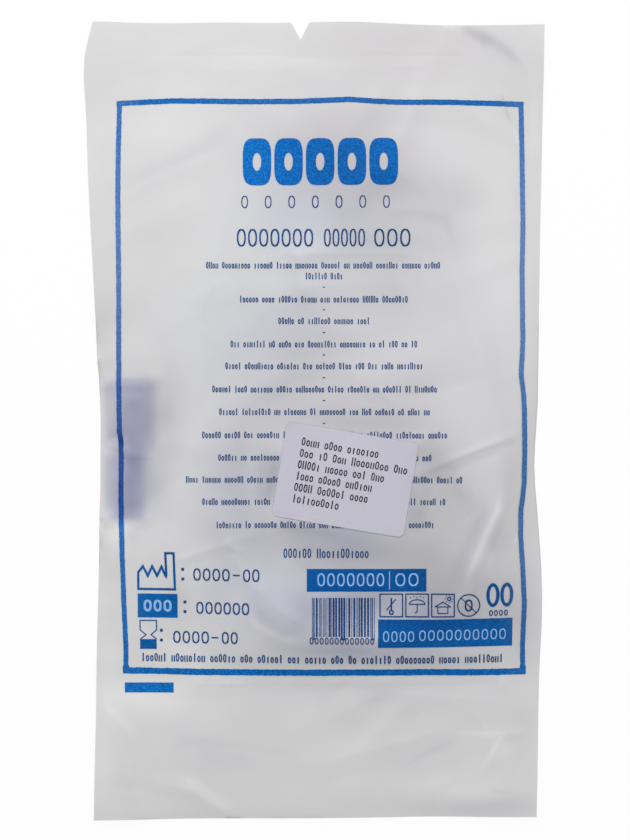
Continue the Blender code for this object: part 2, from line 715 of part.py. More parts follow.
def slant(x, y):
    """The bottom edge is cut a little out of square."""
    share = (0.5 - y / PACK_LENGTH) ** 4
    return y + BOTTOM_SLANT * (x / PACK_WIDTH) * share


def curl_height(x, y):
    """How far an empty edge of the pack stands off the table."""
    total = 0.0
    for across, along, reach, height in CURLS:
        distance = math.hypot(x - across * PACK_WIDTH / 2, y - along * PACK_LENGTH / 2)
        total += height * float(soft_bump(distance, reach))
    return total


def wrinkle_height(x, y):
    """Wrinkles in the front film at one point."""
    total = 0.0
    point = Vector((x, y))
    for start, end, half_width, height in WRINKLES:
        a = Vector(start)
        b = Vector(end)
        share = min(max((point - a).dot(b - a) / (b - a).length_squared, 0.0), 1.0)
        distance = (point - a.lerp(b, share)).length
        total = max(total, height * float(soft_bump(distance, half_width)))
    return total


def content_heights(tree, xs, ys):
    """Highest and lowest content in the cells round each grid point, or nothing."""
    rows = len(ys)
    top = np.full((rows, FILM_COLUMNS), -1.0)
    low = np.full((rows, FILM_COLUMNS), 1.0)
    samples = np.linspace(-1.0, 1.0, CELL_SAMPLES)
    for j in range(rows):
        down = ys[j] - ys[max(j - 1, 0)]
        up = ys[min(j + 1, rows - 1)] - ys[j]
        step = xs[j][1] - xs[j][0]
        for i in range(FILM_COLUMNS):
            for b in samples:
                y = ys[j] + b * (up if b > 0 else down)
                for a in samples:
                    x = xs[j][i] + a * step
                    top[j, i] = max(top[j, i], top_at(tree, x, y, -1.0))
                    low[j, i] = min(low[j, i], bottom_at(tree, x, y, 1.0))
    return top, low


def hang(support, spacing):
    """Film that lies on its supports and sags between them."""
    height = support.copy()
    drop = FILM_SAG * spacing * spacing / 4
    for _ in range(SETTLING_ROUNDS):
        mean = (height[2:, 1:-1] + height[:-2, 1:-1] + height[1:-1, 2:] + height[1:-1, :-2]) / 4
        height[1:-1, 1:-1] = np.maximum(support[1:-1, 1:-1], mean - drop)
    return height


def film_heights(tree, xs, ys):
    """Underside of the back layer and of the front layer at each grid point."""
    top, low = content_heights(tree, xs, ys)
    curl = np.array([[curl_height(x, y) for x in row] for row, y in zip(xs, ys)])
    back = np.clip(np.minimum(curl, low - CLEARANCE - FILM), 0.0, None)
    weld = PACK_LENGTH / 2 - WELD_BELOW_TOP
    gap = [WELD_GAP if abs(y - weld) < WELD_WIDTH / 4 else LAYER_GAP for y in ys]
    rest = back + FILM + np.array(gap)[:, None]
    support = np.maximum(rest, top + CLEARANCE)
    front = hang(support, PACK_LENGTH / len(ys))
    wrinkles = np.array([[wrinkle_height(x, y) for x in row] for row, y in zip(xs, ys)])
    fade = np.array([min(1.0, abs(y - weld) / WELD_BELOW_TOP) for y in ys])[:, None]
    return back, front + wrinkles * fade


def film_rings(xs, ys, back, front):
    """Outer and inner outline of the sleeve at each row."""
    outer = []
    inner = []
    for j, y in enumerate(ys):
        left, right = side_edges(y)
        left_z = (back[j, 0] + front[j, 0] + FILM) / 2
        right_z = (back[j, -1] + front[j, -1] + FILM) / 2
        across = list(zip(xs[j], front[j], back[j]))
        ring = [(left, left_z)] + [(x, f + FILM) for x, f, _ in across]
        ring += [(right, right_z)] + [(x, b) for x, _, b in reversed(across)]
        outer.append([(x, slant(x, y), z) for x, z in ring])
        ring = [(left + FOLD_WALL, left_z)] + [(x, f) for x, f, _ in across]
        ring += [(right - FOLD_WALL, right_z)] + [(x, b + FILM) for x, _, b in reversed(across)]
        inner.append([(x, slant(x, y), z) for x, z in ring])
    return outer, inner


def close_ring(shape, ring):
    """Close a flattened ring with a strip of faces from its front to its back."""
    count = len(ring)
    for k in range(count // 2):
        corners = [ring[k], ring[k + 1], ring[count - 1 - k], ring[(count - k) % count]]
        unique = list(dict.fromkeys(corners))
        if len(unique) > 2:
            shape.faces.new(unique)


def make_sleeve(contents):
    """Film tube round the contents: welded at the bottom, its layers just apart at the top."""
    ys = film_row_places()
    xs = [film_columns(y) for y in ys]
    back, front = film_heights(surface_tree(contents), xs, ys)
    outer_points, inner_points = film_rings(xs, ys, back, front)
    shape = bmesh.new()
    outer = [[shape.verts.new(point) for point in ring] for ring in outer_points]
    inner = [[shape.verts.new(point) for point in ring] for ring in inner_points[1:]]
    count = len(outer[0])
    joined = list(zip(outer, outer[1:])) + list(zip(inner, inner[1:])) + [(outer[-1], inner[-1])]
    for first, second in joined:
        for n in range(count):
            m = (n + 1) % count
            shape.faces.new((first[n], first[m], second[m], second[n]))
    close_ring(shape, outer[0])
    close_ring(shape, inner[0])
    flatten_faces(shape)
    sleeve = add_piece("film_sleeve", shape, (0.80, 0.80, 0.81), 0.45, smooth_angle=60)
    combine(sleeve, notch_cutter(), "DIFFERENCE")
    return sleeve


def notch_cutter():
    """Wedge that cuts the tear notch through both layers, and on past the edge."""
    shape = bmesh.new()
    tip_y = PACK_LENGTH / 2 - NOTCH_DEPTH
    wide_y = tip_y + NOTCH_OVERCUT * NOTCH_DEPTH
    half = NOTCH_OVERCUT * NOTCH_WIDTH / 2
    outline = [(NOTCH_X, tip_y), (NOTCH_X + half, wide_y), (NOTCH_X - half, wide_y)]
    face = shape.faces.new([shape.verts.new((x, y, -PACK_WIDTH)) for x, y in outline])
    grown = bmesh.ops.extrude_face_region(shape, geom=[face])
    moved = [item for item in grown["geom"] if isinstance(item, bmesh.types.BMVert)]
    bmesh.ops.translate(shape, vec=(0.0, 0.0, 2 * PACK_WIDTH), verts=moved)
    return add_helper("notch_cutter", shape)


# Label

def label_outline(u, v):
    """A point of the label, in its own plane, with the corners rounded."""
    half_w = LABEL_WIDTH / 2
    half_h = LABEL_HEIGHT / 2
    x = u * half_w
    y = v * half_h
    over_x = abs(x) - (half_w - LABEL_CORNER)
    over_y = abs(y) - (half_h - LABEL_CORNER)
    if over_x > 0 and over_y > 0:
        longest = max(over_x, over_y)
        scale = longest / math.hypot(over_x, over_y)
        x = math.copysign(half_w - LABEL_CORNER + over_x * scale, x)
        y = math.copysign(half_h - LABEL_CORNER + over_y * scale, y)
    turn = math.radians(LABEL_TURN)
    turned_x = x * math.cos(turn) - y * math.sin(turn)
    turned_y = x * math.sin(turn) + y * math.cos(turn)
    return LABEL_X + turned_x, LABEL_Y + turned_y


def label_shares(count, size):
    """Shares across the label, with one line of points close to each edge for its corners."""
    edge = 1 - 2 * LABEL_CORNER / size
    return [-1.0, -(1 + edge) / 2] + list(np.linspace(-edge, edge, count)) + [(1 + edge) / 2, 1.0]


def film_above(tree, corners):
    """How far the film stands above a flat triangle between three points."""
    most = 0.0
    for weights in TRIANGLE_SAMPLES:
        point = sum((w * corner for w, corner in zip(weights, corners)), Vector((0, 0, 0)))
        most = max(most, top_at(tree, point.x, point.y, 0.0) - point.z)
    return most


def make_label(sleeve):
    """Paper label that follows the front film, raised until it is just clear of it."""
    tree = surface_tree([sleeve])
    across = label_shares(LABEL_COLUMNS, LABEL_WIDTH)
    along = label_shares(LABEL_ROWS, LABEL_HEIGHT)
    plan = [[label_outline(u, v) for u in across] for v in along]
    lying = [[Vector((x, y, top_at(tree, x, y, 0.0))) for x, y in row] for row in plan]
    raised = 0.0
    for row, next_row in zip(lying, lying[1:]):
        for i in range(len(across) - 1):
            a, b, c, d = row[i], row[i + 1], next_row[i + 1], next_row[i]
            for corners in ((a, b, c), (a, c, d), (a, b, d), (b, c, d)):
                raised = max(raised, film_above(tree, corners))
    low_lift = Vector((0, 0, raised + CLEARANCE))
    top_lift = Vector((0, 0, raised + CLEARANCE + LABEL_THICK))
    lower = [[point + low_lift for point in row] for row in lying]
    upper = [[point + top_lift for point in row] for row in lying]
    return add_piece("label", sheet_solid(upper, lower), (0.80, 0.79, 0.84), 0.5)


def centre_all(sleeve):
    """Put the origin under the middle of the pack's own box."""
    bpy.context.view_layer.update()
    corners = [sleeve.matrix_world @ Vector(corner) for corner in sleeve.bound_box]
    middle_x = (min(c.x for c in corners) + max(c.x for c in corners)) / 2
    middle_y = (min(c.y for c in corners) + max(c.y for c in corners)) / 2
    for piece in bpy.data.objects:
        piece.location.x -= middle_x
        piece.location.y -= middle_y


def main():
    """Build the contents first, then the film round them and the label on it."""
    clear_scene()
    bag = make_bag()
    inlet = make_port("inlet_port", INLET_BOAT_LOW, INLET_Z)
    outlet = make_port("outlet_port", OUTLET_BOAT_LOW, OUTLET_Z)
    valve = make_valve()
    tube, tube_end, direction = make_tube(bag)
    connector = make_connector(tube_end, direction)
    cap = make_cap(tube_end, direction)
    contents = bag + [inlet, outlet, valve, tube, connector, cap] + make_tap() + make_straps()
    sleeve = make_sleeve(contents)
    make_label(sleeve)
    centre_all(sleeve)


main()
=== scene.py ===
"""Looks of a packed urine leg bag: the milky film, its blue print, its label, the contents and the stage."""

import json
import math
import random

import bmesh
import bpy
import numpy as np
from bpy.props import FloatProperty, FloatVectorProperty, IntProperty, PointerProperty
from mathutils import Matrix, Vector
from mathutils.bvhtree import BVHTree
from mathutils.kdtree import KDTree

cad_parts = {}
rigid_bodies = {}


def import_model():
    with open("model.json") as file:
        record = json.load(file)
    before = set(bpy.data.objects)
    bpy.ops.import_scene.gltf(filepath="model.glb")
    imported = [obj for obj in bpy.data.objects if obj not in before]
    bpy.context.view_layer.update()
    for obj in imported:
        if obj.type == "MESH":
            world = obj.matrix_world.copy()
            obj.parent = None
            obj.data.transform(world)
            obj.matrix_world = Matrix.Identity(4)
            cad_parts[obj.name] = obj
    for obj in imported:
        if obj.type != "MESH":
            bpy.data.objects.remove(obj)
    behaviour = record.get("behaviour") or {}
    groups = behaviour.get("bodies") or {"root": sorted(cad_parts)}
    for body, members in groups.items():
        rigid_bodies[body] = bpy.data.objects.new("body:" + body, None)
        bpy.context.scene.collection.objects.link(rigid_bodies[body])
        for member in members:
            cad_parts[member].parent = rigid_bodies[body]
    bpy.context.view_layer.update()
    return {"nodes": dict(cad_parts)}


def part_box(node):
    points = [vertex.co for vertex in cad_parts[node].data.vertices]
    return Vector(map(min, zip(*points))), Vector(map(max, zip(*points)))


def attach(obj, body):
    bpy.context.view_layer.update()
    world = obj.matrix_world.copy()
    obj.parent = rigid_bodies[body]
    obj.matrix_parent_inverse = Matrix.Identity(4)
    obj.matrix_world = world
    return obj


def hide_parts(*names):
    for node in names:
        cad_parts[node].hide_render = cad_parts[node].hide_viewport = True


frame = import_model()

bl_info = {
    "name": "Packed leg bag",
    "version": (1, 0, 0),
    "blender": (4, 5, 0),
    "location": "3D View > Sidebar > Leg bag pack",
    "description": "Dresses the solids of a packed urine leg bag",
    "category": "Object",
}

# The solids' own boxes, by which the film, the tube and the label are placed
NODES = frame["nodes"]
FILM_LOW, FILM_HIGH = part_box("film_sleeve")
BAG_LOW, BAG_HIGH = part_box("bag_front_wall")
LABEL_LOW, LABEL_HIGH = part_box("label")
CONTENTS = [name for name in NODES if name not in ("film_sleeve", "label")]

# Pieces of the contents that share a finish
SHEET_NODES = ("bag_back_wall", "bag_front_wall", "non_return_valve")
FITTING_NODES = (
    "inlet_port", "outlet_port", "tube_connector", "connector_cap", "tap_body", "tap_slide",
)
STRAP_NODES = ("strap_upper", "strap_lower")
BUTTON_NODES = ("strap_button_upper", "strap_button_lower")
BUTTON_SHADE = 0.6

MM = 0.001

# Ways of a ray that looks for a surface
DOWN = -1.0
UP = 1.0

# How glossy plastic is, and where a pattern turns from one tone into the other
PLASTIC_GLOSS = 0.5
TONE_LOW = 0.35
TONE_HIGH = 0.65

# Sockets of a mix node for factor, first colour and second colour, and the one for its result
MIX_COLOUR_INPUTS = (0, 6, 7)
MIX_COLOUR_OUTPUT = 2

# Film, with its cloud as scale, detail, dark tone and light tone, and the painted shade of a place without
# any
FILM_ROUGHNESS = 0.50
FILM_GLOSS = 0.30
FILM_CLOUD = (30.0, 3.0, 0.975, 1.015)
UNDIMMED = (1.0, 1.0, 1.0, 1.0)

# Ink, with its specks as scale and detail, and where they turn pale
INK_ROUGHNESS = 0.60
INK_GLOSS = 0.05
INK_SPECKS = (1500.0, 2.0)
INK_TONES = (0.42, 0.74)

# Grains: scale, detail, stretch, strength, depth
FILM_GRAIN = (900.0, 2.0, (1.0, 1.0, 1.0), 0.25, 0.00002)
FILM_CRINKLE = (130.0, 6.0, (1.0, 0.55, 1.0), 0.45, 0.00022)
PAPER_GRAIN = (1400.0, 3.0, (1.0, 1.0, 1.0), 0.15, 0.00002)
SHEET_GRAIN = (700.0, 3.0, (1.0, 1.0, 1.0), 0.3, 0.00003)

# Finishes: roughness, opacity, and the mottle's scale, detail, dark tone and light tone
PAPER_FINISH = (0.55, 0.96, 60.0, 2.0, 0.98, 1.0)
SHEET_FINISH = (0.38, 0.30, 45.0, 3.0, 0.95, 1.03)
TUBE_FINISH = (0.18, 0.25, 90.0, 2.0, 0.94, 1.05)
FITTING_FINISH = (0.35, 1.0, 120.0, 2.0, 0.95, 1.04)

# Elastic: waves as scale, distortion, strength, depth; tones as dark, light and where each starts
STRAP_ROUGHNESS = 0.85
STRAP_SHEEN = 0.3
STRAP_THREADS = (520.0, 0.8, 0.4, 0.0001)
STRAP_RIBS = (230.0, 0.6, 0.6, 0.0002)
STRAP_TONES = (0.65, 1.35, 0.1, 0.9)

# Inks on the film: the colour each starts from, and its shares of that for the ink and its specks
FILM_INKS = {
    "blue_ink": ("ink", 1.0, 2.2),
    "tile_ink": ("ink", 1.33, 2.7),
    "box_ink": ("ink", 1.04, 1.7),
    "sign_ink": ("ink", 0.82, 1.5),
    "code_ink": ("ink", 0.62, 1.1),
    "thin_blue_ink": ("word_ink", 1.0, 1.7),
    "pale_sign_tone": ("box_sign", 1.0, 0.8),
}

# Film grid, and how the film settles over the contents
FILM_SAG = 9.0
FILM_SMOOTH_ANGLE = 70
FILM_COLUMNS = 216
FILM_ROWS = 372
BACK_STEP = 4
CLEAR_OF_CONTENTS = 0.0004
LAYER_GAP = 0.0004
RIM = 0.0003
SIDE_SEARCH = 0.070
ROW_JOIN = 0.0012
SETTLE_LEVELS = (8, 4, 2, 1)
SETTLE_ROUNDS = 260
BACK_SMOOTHING = 90
FORM_SLACK = 0.0020
FORM_SMOOTHING = 30
EASE_PASSES = 8
EASE_ROUNDS = 24
EASE_LIFT_ROUNDS = 8
CONTACT_FADE = 0.0024
BACK_CONTACT = 0.6
CLEAREST = 0.87
CLOUDIEST = 0.94

# Painted show-through of the contents on the film over them, by their depth and by piece, for red, green and
# blue:
# their tint, with painted shade that grows the deeper they lie
DEPTH_SHADE = (13.0, 14.0, 10.5)
DEPTH_SPREAD = 160
CLEAR_PIECES = ("inlet_tube", "inlet_port")
COVERED_PIECES = (*CLEAR_PIECES, *STRAP_NODES, *BUTTON_NODES)
PIECE_SHOW_THROUGH = {
    "strap_upper": ((0.54, 0.52, 0.28), 26),
    "strap_lower": ((0.62, 0.58, 0.34), 26),
    "strap_button_upper": ((0.58, 0.55, 0.30), 26),
    "strap_button_lower": ((0.64, 0.60, 0.35), 26),
    "tap_body": ((0.90, 0.90, 0.70), 300),
    "tap_slide": ((0.90, 0.90, 0.70), 300),
    "outlet_port": ((0.75, 0.75, 0.58), 260),
    "tube_connector": ((0.13, 0.13, 0.10), 200),
    "connector_cap": ((0.13, 0.13, 0.10), 200),
    "bag_front_wall": ((0.05, 0.055, 0.03), 300),
    "inlet_tube": ((0.18, 0.19, 0.14), 300),
}

# Shade and light painted on the film in millimetres: middle x, middle y, reach across, reach along, and how
# much they dim red, green and blue, or one number for all three. Positive ones are painted shade, in folds,
# round and under the label and over the contents; negative ones are painted light that brightens the film
PAINTED_SHADE_AND_LIGHT = (
    (11.4, 98.5, 27, 17, (0.43, 0.47, 0.42)), (-5.3, 75.6, 21, 19, (0.2, 0.16, 0.09)),
    (31.8, 72.6, 23, 30, (0.12, 0.11, 0.1)), (39.1, 140.8, 34, 13, (0.1, 0.13, 0.12)),
    (-70.3, 35.5, 15, 17, 0.15), (-23.9, 31.8, 34, 27, (0.22, 0.2, 0.18)),
    (-2, 55.5, 34, 9, (-0.19, -0.19, -0.15)), (8, 32, 16, 5, (0.09, 0.09, 0.08)), (34, 13, 12, 6, 0.08),
    (-80, 33, 5, 8, 0.09), (-55.5, 11.4, 8.4, 19, (0.16, 0.17, 0.16)),
    (-27.7, -27.8, 15, 21, (0.21, 0.19, 0.14)), (11.5, -46.6, 19, 8.5, (0.31, 0.28, 0.22)),
    (43.3, -56, 13.3, 17, (0.36, 0.38, 0.35)), (-77.5, 6, 3, 12, (-0.17, -0.16, -0.08)),
    (46.9, -24.1, 11.4, 23, (0.16, 0.15, 0.16)), (-16.5, -65.3, 23, 15, (0.12, 0.1, 0.03)),
    (76.9, -65.3, 9.5, 19, (0.13, 0.14, 0.12)), (-66.5, -9, 5, 5, (0.34, 0.32, 0.2)),
    (-58, 5, 3, 15, (-0.12, -0.12, -0.06)), (38, -21, 5, 12, (0.12, 0.12, 0.11)), (66, -41, 13, 7, 0.1),
    (-20, -40, 7, 6, (0.1, 0.1, 0.09)), (-28, -22, 5, 15, (0.07, 0.07, 0.06)), (-70, -38.5, 9, 3.5, -0.12),
    (49, -12, 13, 6, 0.06), (41, 18, 14, 9, 0.09), (41, -143, 30, 4, 0.08), (-73, -41, 12, 8, -0.26),
    (-64, -99, 24, 10, (-0.22, -0.22, -0.2)), (59, 42, 14, 22, -0.06),
    (12, -64.5, 14, 6.5, (0.4, 0.36, 0.22)), (11, -73, 13, 7, (0.26, 0.24, 0.14)),
    (11.4, -84, 20, 3.6, (0.34, 0.31, 0.19)), (40, -84.5, 18, 3.2, (0.2, 0.18, 0.12)),
    (43, -70, 18, 9, (0.26, 0.22, 0.12)), (-4, -70, 6, 9, (0.17, 0.16, 0.13)), (5, -89, 42, 3.2, 0.14),
    (70, -70, 10, 16, 0.13), (57.8, -58.3, 8, 9, 0.16), (21.4, 0.9, 24, 7, 0.2), (20, 68, 24, 5, 0.11),
    (26, 115.5, 22, 5, 0.1), (55, 86, 10, 9, 0.09), (-5.3, 25.3, 18, 5, 0.12), (-33, 39.4, 12, 10, -0.1),
    (9, 96, 22, 10, -0.09), (54, -138, 18, 7, -0.1), (-79.5, -125, 6, 22, -0.07), (74.5, -25, 6, 16, 0.09),
    (78, -115.7, 6, 9, 0.06), (22.5, -47.2, 16, 6, 0.1), (-19.4, -47.2, 8, 6, 0.08),
    (-27.5, -63.5, 6, 8, -0.08), (-29.4, -96.8, 22, 4, -0.09), (-66.5, -93.8, 16, 6, 0.11),
    (-76.5, -25, 5, 15, (-0.24, -0.22, -0.13)), (-74.2, 6, 1.8, 11, (-0.22, -0.2, -0.08)),
    (-75.5, 21.5, 5, 4.5, 0.15), (-65, 22.5, 9, 5, 0.1), (-61, -19.5, 7, 10.5, (0.31, 0.3, 0.23)),
    (-67.5, -19, 4, 9, (0.13, 0.13, 0.08)), (-56, 3.5, 4, 6, (0.15, 0.15, 0.11)), (-67, 9, 3.5, 4, 0.08),
    (-64, -5, 5, 3.5, (-0.12, -0.12, -0.09)), (-68, -41, 3.5, 3.5, 0.14),
    (25.9, -65, 6, 7, (0.2, 0.18, 0.12)), (42.9, -67.6, 10, 5, (0.1, 0.09, 0.06)), (-16, -18, 5, 9, 0.13),
    (-9, -38.5, 9, 3.5, 0.15), (40, -34, 5, 5, 0.13), (50, -89, 26, 4, 0.1), (-55, 110, 18, 7, -0.05),
    (-22, 57.9, 12, 4, 0.07), (-8, -43.5, 9, 4, 0.13), (6, -84, 22, 4, 0.12), (-14, -79.8, 6, 4, 0.1),
    (33, -89, 14, 3.5, 0.09), (20, -64, 7, 5, 0.11), (38, -70.5, 12, 3, 0.09), (58, -69, 6, 4.5, 0.13),
    (-51.5, -64.5, 5, 7, 0.13), (29.5, 70.5, 7, 6, 0.1), (-65.5, -24, 3, 5, -0.11), (77, -80, 4, 10, 0.08),
    (-53.5, -10, 7, 5, 0.08), (53, 113, 16, 12, 0.07), (77, 82, 2.5, 22, 0.05),
    (81.8, 112, 2.2, 12, -0.06), (-22, 24.5, 10, 5, -0.08), (5.5, 2, 9, 4.5, 0.08),
    (-74.5, -30, 3, 6, -0.1), (-76.5, -86, 5, 8, -0.08), (-50, -95.5, 15, 4, 0.07),
    (-52, -115, 14, 10, -0.05), (-79, 35, 4, 4, -0.07), (0, -148, 80, 3, 0.05),
)

# Lines of shade and light painted on the film in millimetres: points, reach, and how much they dim, as
# above.
# Positive ones are painted shadows along the label's edges, beside the tube and in creases; negative ones
# are painted highlights along the tube and on crease crests
PAINTED_SHADE_AND_LIGHT_LINES = (
    (((56.5, 147.4), (65.5, 143.2), (72, 138), (77.5, 132)), 1.9, (0.17, 0.17, 0.15)),
    (((69, 124), (71, 118), (73.4, 111.5)), 0.55, (0.2, 0.2, 0.18)),
    (((74, 110), (76.5, 104)), 0.55, (-0.1, -0.1, -0.09)),
    (((25.5, 77.6), (37, 79), (48.5, 77), (52, 66)), 2, (0.08, 0.08, 0.07)),
    (((69.3, -22), (68.4, -31), (64.1, -39.5), (60, -49), (55, -61)), 1.2, (-0.17, -0.16, -0.13)),
    (((64, -22), (63.4, -31), (59, -40), (55, -48.5), (50, -60)), 2.3, (0.09, 0.1, 0.07)),
    (((72, -24), (71.4, -32), (67.2, -41.5), (63, -51), (58, -62)), 1.2, (0.07, 0.07, 0.05)),
    (((74.2, -44.5), (76.3, -41.5), (77.2, -39)), 0.9, (-0.16, -0.16, -0.15)),
    (((-26.5, -67), (-21.5, -74.5), (-13, -79.3), (-3, -81.5)), 1.1, (-0.11, -0.1, -0.08)),
    (((-24, -65.5), (-19, -71.5), (-11, -76.2), (-2, -78.2)), 2, (0.07, 0.08, 0.05)),
    (((-80, -104), (-73, -111), (-66, -118.5)), 1.8, -0.06),
    (((-60, -112), (-35, -126), (-16, -129)), 5, (0.05, 0.05, 0.04)),
    (((-53, -131.5), (-44, -136.5), (-31, -146.5)), 2.4, (-0.07, -0.07, -0.06)),
    (((46, -145.5), (64, -144.5), (84, -142)), 3.2, (0.11, 0.11, 0.1)),
    (((34, -129.5), (41, -124.5), (54, -118)), 1, (0.06, 0.06, 0.05)),
    (((52, -116.2), (71, -116.6), (66.5, -124), (62, -132)), 0.9, (-0.09, -0.09, -0.08)),
    (((-45, -97.6), (0, -97.9), (60, -97.2)), 1.6, (0.05, 0.05, 0.04)),
    (((-50, -50.4), (-37, -46), (-24, -41)), 0.6, 0.05),
    (((-13, -8), (-15.5, -20), (-18.2, -31.5)), 2.6, (0.26, 0.25, 0.2)),
    (((-17, -36), (-2, -38.2), (11, -41)), 2.4, (0.22, 0.21, 0.17)),
    (((38.3, -20), (36, -31), (33.6, -42)), 2.3, (0.17, 0.17, 0.13)),
    (((75.5, -4.6), (64.4, -8.2), (57.8, -10.8), (46.6, -14.9), (40, -17.5)), 0.6, (0.1, 0.1, 0.09)),
    (((75, -3), (64, -6.4), (57.2, -9), (46, -13.2)), 1, -0.05),
    (((-72.5, 14), (-66, 14.2), (-62.6, 13.6)), 1.4, (0.16, 0.16, 0.1)),
    (((-77, -33.2), (-70, -33.4), (-64, -33.2)), 1.2, (0.08, 0.08, 0.05)),
    (((-78, -36.6), (-63, -36.6)), 1.3, (-0.07, -0.07, -0.04)),
    (((-69.5, -11.6), (-64.5, -11.9), (-60, -12)), 0.6, (0.1, 0.1, 0.08)),
    (((-75, 89), (-55.4, 95.2), (-40.5, 104.5), (-27.2, 114.8)), 4, (0.06, 0.06, 0.05)),
    (((53, 148), (60, 144.6), (67, 140)), 2.1, (0.16, 0.16, 0.14)),
    (((41.8, -17.5), (41.4, -26), (38.5, -34), (37.2, -41.5)), 2.2, (0.11, 0.11, 0.1)),
    (((47, -17), (51, -26), (56, -33), (60, -39.5)), 2, (-0.08, -0.08, -0.07)),
    (((69.2, -30.5), (68, -36.5), (66, -44), (68, -49)), 2.5, (0.09, 0.09, 0.08)),
    (((-17, -6), (-19, -14), (-20.5, -24), (-21, -32)), 2.4, (0.12, 0.12, 0.1)),
)

# Shade painted on the ink: darker places where the frame line crosses a fold and down its sides, laid out
# like the painted shade and light
INK_PAINTED_SHADE = (
    (-72.2, -5.5, 3, 2.8, (0.9, 0.7, 0.4)), (-72, -20, 4, 14, (-0.1, 0.12, 0.02)),
    (78, -12, 4, 42, (0.08, 0.05, 0.12)),
)

# Places where the ink is thin, laid out the same way, with the share of bare film that shows
INK_THIN = (
    (-73, 62, 8, 60, 0.13), (77.5, 58, 8, 62, 0.17), (-71.8, -10, 5, 26, 0.04), (-71.5, -62, 5, 30, 0.03),
    (78, -50, 5, 34, 0.09), (0, 118, 60, 6, 0.03),
)

# Top edge: weld line, tear notch and slight waves, as in the solid
WELD_BELOW_TOP = 0.0122
WELD_HALF = 0.0009
WELD_DEPTH = 0.00012
NOTCH_X = -0.0051
TOP_WAVES = ((0.00016, 130.0, 0.0), (0.00012, 57.0, 1.0))
TOP_DIP = 0.0012
TOP_DIP_MIDDLE = 0.062
TOP_DIP_REACH = 0.028
NOTCH_WIDTH = 0.0067
NOTCH_DEPTH = 0.0065

# Slant of the foot, the straps' pull on the left edge and the straightened stretch of the right edge
BOTTOM_SLANT = 0.0016
STRAP_PULL = 0.00075
STRAP_PULL_MIDDLE = -0.010
STRAP_PULL_REACH = 0.030
RIGHT_STRAIGHT = (0.011, 0.037)

# How a crease fades along its ends, how sharp its crest is, and the calm strip at the side edges
CREASE_FADE = (0.6, 0.8, 0.05, 0.95)
CREST_SHARPNESS = 1.5
EDGE_CALM = 0.004

# Soft lines fade over this share of their length at each end, to this share of their strength
LINE_FADE = 0.25
LINE_END = 0.15

# Creases of the film in millimetres: start, end, half width, height, negative for a groove
CREASES = (
    ((55.3, 147.8), (78.5, 131.8), 4.5, -0.85), ((51, 147.8), (74, 136.5), 4, 0.5),
    ((68.8, 124), (75.2, 106.5), 2.6, 0.35), ((74.8, -3.5), (37.6, -18.1), 3.6, 0.45),
    ((73, -8), (40, -21.5), 4.5, -0.35), ((-24, -41.3), (-50.1, -50.3), 3.4, 0.45),
    ((-31.5, -44.5), (-27.5, -46.8), 2.2, 0.4), ((70.8, -116), (77.2, -116.3), 4, 0.45),
    ((77.2, -116.3), (69.7, -137.1), 5, 0.45), ((62, -110), (69, -125.5), 6, 0.5),
    ((-59.8, -135.2), (-47, -138), 5, 0.4), ((-47, -138), (-29.8, -148.5), 5, 0.48),
    ((-48.5, -124.5), (-9.5, -130.5), 8, -0.7), ((-5.6, -129.5), (47, -116), 9, 0.65),
    ((-73, 92), (-36.7, 106.9), 7, -0.4), ((-73, 85), (-40, 99), 7, 0.32), ((-79, 66), (-48, 84), 8, 0.28),
    ((20, 81.5), (49, 78.2), 7, 0.28), ((-36, 132), (40, 133.5), 9, 0.5), ((-84, -8), (-71, -3), 3, -0.5),
    ((-76.5, -7.5), (-69, -8.5), 1.3, 0.3), ((-70, -4), (-67.5, -12), 1.5, 0.3),
    ((-73.5, -6.5), (-67.5, -11.5), 2.6, 0.55), ((-60, -104), (10, -100), 9, -0.5),
    ((30, -100), (82, -106), 9, 0.5), ((52, -140), (80, -146), 7, -0.7),
)

# Fine crinkles and wider folds, scattered over the whole film
SCATTER_REACH = (84.0, 148.0)
SCATTER_ANGLE = (0.35, 0.7)
CRINKLES = 110
CRINKLE_SEED = 11
CRINKLE_LENGTH = (8.0, 26.0)
CRINKLE_WIDTH = (2.0, 4.5)
CRINKLE_HEIGHT = (0.03, 0.10)
FOLDS = 60
FOLD_LENGTH = (30.0, 90.0)
FOLD_WIDTH = (5.0, 11.0)
FOLD_HEIGHT = (0.08, 0.34)

# Inlet tube, with the route of the solid as distances from the middle of the bag's top edge
TUBE_RADIUS = 0.00375
TUBE_BORE = 0.0025
TUBE_SIDES = 20
TUBE_STEPS = 260
TUBE_SEAM = 0.000001
TUBE_SMOOTH_ANGLE = 60
CURVE_STEPS = 12
TUBE_ROUTE = (
    (0.0000, 0.0023), (0.0000, 0.0080), (0.0000, 0.0140), (0.0016, 0.0210),
    (0.0060, 0.0267), (0.0125, 0.0297), (0.0195, 0.0294), (0.0258, 0.0260),
    (0.0303, 0.0195), (0.0335, 0.0100), (0.0370, -0.0020), (0.0415, -0.0160),
    (0.0460, -0.0310), (0.0500, -0.0460), (0.0530, -0.0610), (0.0548, -0.0760),
    (0.0550, -0.0910), (0.0533, -0.1050), (0.0490, -0.1175), (0.0420, -0.1280),
    (0.0325, -0.1356), (0.0215, -0.1404), (0.0095, -0.1424), (-0.0025, -0.1418),
    (-0.0140, -0.1384), (-0.0250, -0.1325), (-0.0345, -0.1240), (-0.0420, -0.1135),
    (-0.0470, -0.1015), (-0.0490, -0.0890), (-0.0480, -0.0765), (-0.0440, -0.0650),
    (-0.0375, -0.0550), (-0.0290, -0.0475), (-0.0190, -0.0432), (-0.0080, -0.0424),
    (0.0015, -0.0444), (0.0095, -0.0490), (0.0160, -0.0548), (0.0204, -0.0608),
    (0.0265, -0.0692),
)

